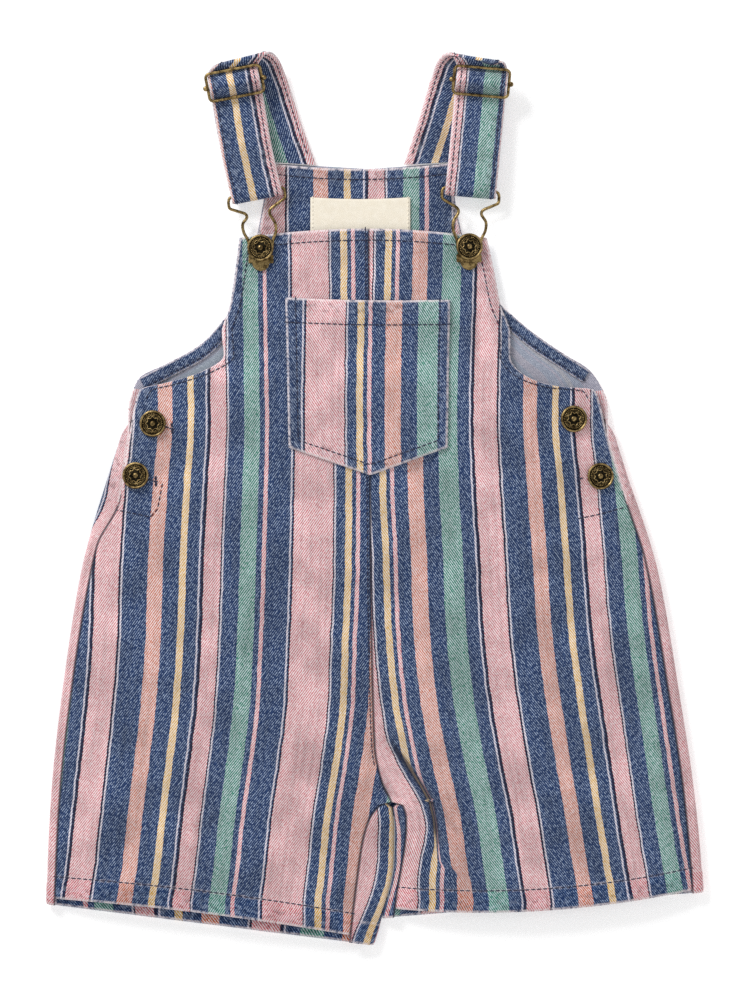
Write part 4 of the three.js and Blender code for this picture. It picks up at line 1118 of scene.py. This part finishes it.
# A geometry nodes tree with named inputs, and the keys a modifier knows them by.
def newTree(name, sockets):
    tree = bpy.data.node_groups.new(name, "GeometryNodeTree")
    ids = {}
    for socketName, kind, value in sockets:
        made = tree.interface.new_socket(socketName, in_out="INPUT", socket_type="NodeSocket" + kind)
        if value is not None:
            made.default_value = value
        ids[socketName] = made.identifier
    tree.interface.new_socket("Geometry", in_out="OUTPUT", socket_type="NodeSocketGeometry")
    return tree, ids


# A node whose sockets are joined to other nodes or set to values.
def wireUp(tree, kind, links, **settings):
    node = tree.nodes.new(kind)
    for name, value in settings.items():
        setattr(node, name, value)
    for key, value in links.items():
        if hasattr(value, "is_output"):
            tree.links.new(value, node.inputs[key])
        else:
            node.inputs[key].default_value = value
    return node


# Runs a tree on a mesh and gives the result back as a plain mesh object.
def grown(name, mesh, tree, ids, values):
    holder = bpy.data.objects.new(name + "Guide", mesh)
    scene.collection.objects.link(holder)
    modifier = holder.modifiers.new("grow", "NODES")
    modifier.node_group = tree
    for key, value in values.items():
        modifier[ids[key]] = value
    shown = holder.evaluated_get(bpy.context.evaluated_depsgraph_get())
    made = bpy.data.objects.new(name, bpy.data.meshes.new_from_object(shown))
    holder.modifiers.remove(modifier)
    bpy.data.objects.remove(holder)
    scene.collection.objects.link(made)
    made.data.polygons.foreach_set("use_smooth", np.ones(len(made.data.polygons), bool))
    return made


def makeBeadTree():
    sockets = [("Geometry", "Geometry", None), ("Beads", "Int", 36), ("Ring radius", "Float", 0.005),
               ("Bead radius", "Float", 0.0004), ("Metal", "Material", None)]
    tree, ids = newTree("beadRing", sockets)
    given = wireUp(tree, "NodeGroupInput", {})
    count, ringRadius, beadRadius = (given.outputs[name] for name in ("Beads", "Ring radius", "Bead radius"))
    ring = wireUp(tree, "GeometryNodeMeshCircle", {"Vertices": count, "Radius": ringRadius})
    bead = wireUp(tree, "GeometryNodeMeshUVSphere", {"Segments": 8, "Rings": 5, "Radius": beadRadius})
    laid = wireUp(tree, "GeometryNodeInstanceOnPoints", {"Points": ring.outputs[0], "Instance": bead.outputs[0]})
    real = wireUp(tree, "GeometryNodeRealizeInstances", {"Geometry": laid.outputs[0]})
    coated = wireUp(tree, "GeometryNodeSetMaterial", {"Geometry": real.outputs[0], "Material": given.outputs["Metal"]})
    wireUp(tree, "NodeGroupOutput", {0: coated.outputs[0]})
    return tree, ids


button = {
    "radius": 7.5, "ringRadius": 5.3, "beads": 34, "beadRadius": 0.4, "lobes": 8, "lobeRing": 3.5, "lobeDepth": 0.42,
    "bibShank": 2.4, "sideShank": 0.6,
}


def beadPoints():
    tree, ids = makeBeadTree()
    values = {
        "Beads": button["beads"], "Ring radius": button["ringRadius"] * mm, "Bead radius": button["beadRadius"] * mm,
        "Metal": brass,
    }
    ring = grown("beadRing", bpy.data.meshes.new("beadSeed"), tree, ids, values)
    points = np.array([v.co for v in ring.data.vertices]) / mm
    faces = [tuple(p.vertices) for p in ring.data.polygons]
    bpy.data.objects.remove(ring)
    return points, faces


beads = beadPoints()


def makeButton(name, x, y, shank, turn):
    r = button["radius"]
    profile = [
        (0, 0, 0), (2.3, 0, 0), (2.3, shank, 0), (6.2, shank, 0), (7.1, shank + 0.25, 0), (r, shank + 0.95, 0),
        (r - 0.05, shank + 1.5, 0), (r - 0.35, shank + 1.95, 0), (r - 0.7, shank + 2.1, 0), (r - 1.05, shank + 1.95, 0),
        (r - 1.25, shank + 1.5, 0), (5.6, shank + 1.42, 1), (3, shank + 1.45, 1), (0, shank + 1.5, 1),
    ]
    points, faces, slots = lathe(profile)
    angles = np.linspace(0, 2 * math.pi, 96, endpoint=False)
    wavy = button["lobeRing"] + button["lobeDepth"] * np.cos(button["lobes"] * angles)
    lobes = sweep(np.stack([wavy * np.cos(angles), wavy * np.sin(angles), 0 * angles + shank + 1.55], 1), 0.3, 8, True)
    fine = sweep(np.stack([4.5 * np.cos(angles), 4.5 * np.sin(angles), 0 * angles + shank + 1.45], 1), 0.16, 6, True)
    domeRows = ((0, 1.3), (1.6, 1.3), (1.55, 1.75), (1.1, 2.15), (0.5, 2.32), (0, 2.36))
    dome = lathe([(out, shank + up, 0) for out, up in domeRows], 28)
    parts = [(*lobes, 0), (*fine, 0), (*dome[:2], 0), (beads[0] + (0, 0, shank + 1.55), beads[1], 0)]
    allPoints, allFaces, allSlots = joined([(points, faces, 0)] + parts)
    allSlots[: len(slots)] = slots
    spin = np.array(Matrix.Rotation(math.radians(turn), 3, "Z"))
    return makeObject(name, seated(allPoints @ spin.T, x, y, body["seamGap"]), allFaces, (brass, darkBrass), allSlots)


bibButtons = {"left": (-63.6, 140.0), "right": (52.4, 140.6)}
sideButtons = {
    "LeftUpper": (-123.8, 41.8), "LeftLower": (-133.4, 12.8), "RightUpper": (110.8, 44.4), "RightLower": (125.6, 12.4),
}
wire = {"radius": 0.85, "inset": 3.0, "sides": 12, "clear": 0.65}
# Half of the wire hook, outward and up from the button's centre; the last row is on the bar.
hookHalf = table(
    "out up",
    (5.2, -2.8), (6.2, 0), (7, 4.4), (9, 9), (9.1, 13.6), (6.5, 18.2), (6.9, 20.2), (12.2, 23.2), (15.6, 25.2),
    (16, 27.4), (15.8, 29.6), (14.8, 31),
)


def makeHook(side):
    x0, y0 = bibButtons[side]
    turned = strapRoutes[side][strap["turnedEnd"]]
    angle = math.radians(turned["across"])
    bar = turned["x"] - wire["inset"] * math.sin(angle), turned["y"] + wire["inset"] * math.cos(angle)
    length = hookHalf[-1]["up"]

    def arm(way):
        points = []
        for row in hookHalf:
            s, turn = row["up"] / length, angle * float(smooth(12, 20, row["up"]))
            x = x0 + (bar[0] - x0) * s + way * row["out"] * math.cos(turn)
            y = y0 + (bar[1] - y0) * s + way * row["out"] * math.sin(turn)
            onCloth = float(frontHeight(x, y)) + wire["clear"] + wire["radius"]
            points.append((x, y, onCloth + (turned["z"] - onCloth) * float(smooth(12, 24, row["up"]))))
        return points

    line = curveThrough(arm(-1) + arm(1)[::-1], np.linspace(0, 1, 150))
    return makeObject(f"wireHook{side.title()}", *sweep(line, wire["radius"], wire["sides"]), (brass,))


def makePlate(side):
    arc = [math.pi * (1.04 + 0.92 * k / 18) for k in range(19)]
    outline = [(-7, -4), (-7, -8.6), (-5, -8.6)] + [(4.9 * math.cos(a), -8 + 4.9 * math.sin(a)) for a in arc]
    outline += [(5, -8.6), (7, -8.6), (7, -4)]
    shape = bmesh.new()
    corners = [shape.verts.new((x, y, 0)) for x, y in outline]
    bottom = shape.faces.new(corners)
    raised = bmesh.ops.extrude_face_region(shape, geom=[bottom])["geom"]
    bmesh.ops.translate(shape, verts=[g for g in raised if isinstance(g, bmesh.types.BMVert)], vec=(0, 0, 1))
    bmesh.ops.recalc_face_normals(shape, faces=shape.faces)
    bmesh.ops.bevel(shape, geom=shape.edges[:], offset=0.22, segments=2, affect="EDGES")
    shape.verts.ensure_lookup_table()
    points = np.array([v.co for v in shape.verts])
    faces = [tuple(v.index for v in f.verts) for f in shape.faces]
    shape.free()
    made = makeObject(f"hookPlate{side.title()}", seated(points, *bibButtons[side], 0.5), faces, (brass,))
    made.data.polygons.foreach_set("use_smooth", np.zeros(len(faces), bool))
    return made


slider = {"width": 30.8, "height": 15.6, "lift": 13.6, "tilt": 12, "corner": 2.4, "radius": 0.85, "knob": 1.5}
sliderAt = {"left": (-78.2, 231.6, 11), "right": (59.3, 232.4, -5)}


def sliderPlaced(points, side):
    x, y, turn = sliderAt[side]
    spin = Matrix.Rotation(math.radians(turn), 3, "Z") @ Matrix.Rotation(math.radians(slider["tilt"]), 3, "X")
    return np.asarray(points) @ np.array(spin).T + (x, y, slider["lift"])


def makeSlider(side):
    w, h, r = slider["width"] / 2, slider["height"] / 2, slider["corner"]
    loop = []
    for cx, cy, start in ((w - r, h - r, 0), (-w + r, h - r, 90), (-w + r, -h + r, 180), (w - r, -h + r, 270)):
        loop += [(cx + r * math.cos(a), cy + r * math.sin(a), 0) for a in np.radians(np.linspace(start, start + 90, 9))]
    even = []
    for a, b in zip(loop, loop[1:] + loop[:1]):
        steps = max(1, int(math.dist(a, b) / 1.2))
        even += [tuple(np.array(a) + (np.array(b) - np.array(a)) * k / steps) for k in range(steps)]
    points, faces = sweep(even, slider["radius"], wire["sides"], True)
    frameMade = makeObject(f"sliderFrame{side.title()}", sliderPlaced(points, side), faces, (brass,))
    reach = w - 1.0
    bar = sweep([(x, 0, 0) for x in np.linspace(-reach, reach, 24)], 0.8, wire["sides"])
    knobs = []
    for way in (-1, 1):
        belly = [(slider["knob"] * math.cos(a), 1.3 * math.sin(a), 0) for a in np.radians((-60, -30, 0, 30, 60))]
        ball, quads, _ = lathe([(0, -1.3, 0)] + belly + [(0, 1.3, 0)], 16)
        knobs.append((ball + (way * (w + 1.1), 0, 0.35), quads, 0))
    points, faces, slots = joined([(*bar, 0)] + knobs)
    return frameMade, makeObject(f"sliderBar{side.title()}", sliderPlaced(points, side), faces, (brass,), slots)


hooks = {side: makeHook(side) for side in outward}
plates = {side: makePlate(side) for side in outward}
slidersMade = {side: makeSlider(side) for side in outward}
buttonsMade = {}
for side in outward:
    name = f"bibButton{side.title()}"
    buttonsMade[name] = makeButton(name, *bibButtons[side], button["bibShank"], 14)
for k, (place, (x, y)) in enumerate(sideButtons.items()):
    name = f"sideButton{place}"
    buttonsMade[name] = makeButton(name, x, y, button["sideShank"], 9 * k)
print("brass ready")


stitch = {"length": 3.0, "spacing": 3.3, "radius": 0.38, "lift": 0.05}


def makeStitchTree():
    sockets = [("Geometry", "Geometry", None), ("Spacing", "Float", 0.0032), ("Stitch length", "Float", 0.0025),
               ("Thread radius", "Float", 0.00027), ("Thread", "Material", None)]
    tree, ids = newTree("threadRun", sockets)
    given = wireUp(tree, "NodeGroupInput", {})
    line = wireUp(tree, "GeometryNodeMeshToCurve", {"Mesh": given.outputs["Geometry"]})
    placed = {"Curve": line.outputs[0], "Length": given.outputs["Spacing"]}
    spots = wireUp(tree, "GeometryNodeCurveToPoints", placed, mode="LENGTH")
    bead = wireUp(tree, "GeometryNodeMeshUVSphere", {"Segments": 6, "Rings": 4, "Radius": 1.0})
    half = wireUp(tree, "ShaderNodeMath", {0: given.outputs["Stitch length"], 1: 0.5}, operation="MULTIPLY")
    thick = given.outputs["Thread radius"]
    size = wireUp(tree, "ShaderNodeCombineXYZ", {0: thick, 1: thick, 2: half.outputs[0]})
    laid = wireUp(tree, "GeometryNodeInstanceOnPoints", {
        "Points": spots.outputs["Points"], "Instance": bead.outputs[0], "Rotation": spots.outputs["Rotation"],
        "Scale": size.outputs[0],
    })
    real = wireUp(tree, "GeometryNodeRealizeInstances", {"Geometry": laid.outputs[0]})
    sewn = wireUp(tree, "GeometryNodeSetMaterial", {"Geometry": real.outputs[0], "Material": given.outputs["Thread"]})
    wireUp(tree, "NodeGroupOutput", {0: sewn.outputs[0]})
    return tree, ids


stitchTree = makeStitchTree()


# The line across a grid where a depth, which grows or shrinks along axis, has the given value.
def lineAt(grid, depth, value, axis):
    if axis == 0:
        grid, depth = grid.transpose(1, 0, 2), depth.T
    points = []
    for row, deep in zip(grid, depth):
        if deep[0] > deep[-1]:
            row, deep = row[::-1], deep[::-1]
        points.append([np.interp(value, deep, row[:, n]) for n in range(3)])
    return np.array(points)


# Drops a line on to the outer face of a piece.
def pinned(line, made, lift=None):
    surface = BVHTree.FromObject(made, bpy.context.evaluated_depsgraph_get())
    points = []
    for x, y, *_ in line:
        hit = surface.ray_cast(Vector((x * mm, y * mm, 0.1)), Vector((0, 0, -1)))[0]
        if hit is not None:
            points.append((x, y, hit.z / mm + (stitch["lift"] if lift is None else lift)))
    return points


# Points about step apart along a line.
def even(points, step=1.0):
    points = np.asarray(points, float)
    lengths = np.concatenate([[0], np.cumsum(np.linalg.norm(np.diff(points, axis=0), axis=1))])
    places = np.linspace(0, lengths[-1], max(2, int(lengths[-1] / step)))
    return np.stack([np.interp(places, lengths, points[:, n]) for n in range(points.shape[1])], axis=1)


# A run along a made piece, where one of its depths has the given value.
def runAlong(piece, depth, value, axis):
    made, grid, depths = piece
    return pinned(even(lineAt(grid, depths[depth], value, axis)), made)


def makeStitches(name, runs, spacing=None, length=None, yarn=None):
    mesh = bpy.data.meshes.new(name + "Runs")
    points, edges = [], []
    for run in runs:
        start = len(points)
        points += [tuple(p) for p in np.asarray(run) * mm]
        edges += [(k, k + 1) for k in range(start, len(points) - 1)]
    mesh.from_pydata(points, edges, [])
    values = {"Spacing": (spacing or stitch["spacing"]) * mm, "Stitch length": (length or stitch["length"]) * mm,
              "Thread radius": stitch["radius"] * mm, "Thread": yarn or thread}
    return grown(name, mesh, *stitchTree, values)


# The stitched outline of the side opening, down the front and round its foot.
openingRuns = {
    "left": [(-118.9, 7), (-120.1, 0.8), (-121.5, -5.9), (-125.4, -10.4), (-128.8, -9.5), (-142.8, -6.7), (-148.6, -5.4)],
    "right": [(114.6, -11), (125.7, -8.7), (137.6, -5.4)],
}
# Where the ends of the buttonholes show beside the buttons.
holeEnds = {
    "left": [
        [(-116.6, 39.9), (-113.4, 38.9)], [(-113.4, 41.0), (-113.2, 37.6)],
        [(-125.8, 10.4), (-122.6, 9.6)], [(-122.4, 11.4), (-122.2, 8.0)],
    ],
    "right": [[(106.2, 40.0), (103.4, 39.2)], [(114.6, 11.2), (111.8, 10.4)]],
}
stitches = {}
for side in outward:
    made, grid, depths = frontMade[side]
    top = lineAt(grid, depths["top"], front["topStitch"], 0)
    top = top[np.abs(top[:, 0]) < (69.6 if side == "left" else 56.8)]
    armhole = lineAt(grid, depths["outer"], front["armholeStitch"], 1)
    armhole = armhole[(armhole[:, 1] < 142) & (armhole[:, 1] > 56)]
    hem = lineAt(grid, depths["hem"], front["hemDepth"], 0)
    runs = [pinned(even(line), made) for line in (top, armhole, hem, openingRuns[side])]
    if side == "left":
        seam = lineAt(grid, depths["inner"], 1.7, 1)
        runs.append(pinned(even(seam[seam[:, 1] > -150]), made))
    for ends in holeEnds[side]:
        runs += [[(x + across * 0.35, y, z) for x, y, z in pinned(even(ends, 0.5), made)] for across in (-1, 1)]
    stitches[f"front{side.title()}"] = makeStitches(f"stitchesFront{side.title()}", runs)
    run = runAlong(bandMade[side], "outer", trim["stitchIn"], 1)
    stitches[f"band{side.title()}"] = makeStitches(f"stitchesBand{side.title()}", [run])
    line = strapMade[side][1]
    runs = []
    inset = strap["stitchIn"] / strap["width"]
    for s in (-0.5 + inset, 0.5 - inset):
        for high in (-1, 1):
            run = [strapPoint(line, k, s, high * (strap["wall"] / 2 - 0.02)) for k in range(4, len(line[0]) - 8)]
            runs.append(even(run))
    stitches[f"strap{side.title()}"] = makeStitches(f"stitchesStrap{side.title()}", runs)
stitches["facing"] = makeStitches("stitchesFacing", [runAlong(facingMade, "top", trim["stitchIn"], 0)])
made, grid, depths = pocketMade
rim = pocket["stitchIn"]
left = lineAt(grid, depths["left"], rim, 1)
right = lineAt(grid, depths["right"], rim, 1)
bottom = lineAt(grid, depths["bottom"], rim, 0)
bottom = bottom[(bottom[:, 0] > left[-1][0] + 0.4) & (bottom[:, 0] < right[-1][0] - 0.4)]
left, right = left[left[:, 1] > bottom[0][1]], right[right[:, 1] > bottom[-1][1]]
around = np.concatenate([left, bottom, right[::-1]])
runs = [pinned(even(around), made), runAlong(pocketMade, "top", pocket["topHem"], 0)]
stitches["pocket"] = makeStitches("stitchesPocket", runs)
runs = [runAlong(labelMade, end, 1.1, 1) for end in ("left", "right")]
stitches["label"] = makeStitches("stitchesLabel", runs, 2.2, 1.5, tape)
print("stitches ready")


def laid(obj, grid, nodes, onto, extras):
    area = gridArea(grid)
    width, length = float(alongColumns(grid)[:, -1].max()) * mm, float(alongRows(grid)[-1].max()) * mm
    width = max(width, trim["bandCut"] * mm)
    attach(obj, "root")
    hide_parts(*nodes)


def attached(obj, slotName, *nodes):
    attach(obj, "root")
    if nodes:
        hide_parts(*nodes)


for piece in [*stitches.values(), stayMade]:
    attached(piece, "denim")
for side in outward:
    word = side.title()
    extras = [stitches[f"front{word}"]] + ([stayMade] if side == "left" else [])
    laid(frontMade[side][0], frontMade[side][1], [f"front_{side}"], [backMade[side][0]], extras)
    laid(backMade[side][0], backMade[side][1], [f"back_{side}"], ["tableTop"], [])
    laid(bandMade[side][0], bandMade[side][1], [f"armhole_band_{side}"], [backMade[side][0]], [stitches[f"band{word}"]])
    made, line, length = strapMade[side]
    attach(made, "root")
    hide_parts(f"strap_{side}")
    length * mm
    attached(hooks[side], "brass", f"hook_{side}")
    attached(plates[side], "brass", f"hook_plate_{side}")
    attached(slidersMade[side][0], "brass", f"slider_frame_{side}")
    attached(slidersMade[side][1], "brass", f"slider_bar_{side}")
    attached(buttonsMade[f"bibButton{word}"], "brass", f"bib_button_{side}")
    for place in ("Upper", "Lower"):
        attached(buttonsMade[f"sideButton{word}{place}"], "brass", f"side_button_{side}_{place.lower()}")
laid(facingMade[0], facingMade[1], ["back_facing"], [backMade["left"][0], backMade["right"][0]], [stitches["facing"]])
laid(pocketMade[0], pocketMade[1], ["pocket"], [frontMade["left"][0], frontMade["right"][0]], [stitches["pocket"]])
laid(labelMade[0], labelMade[1], ["label"], [facingMade[0]], [stitches["label"]])
print("pieces handed over")
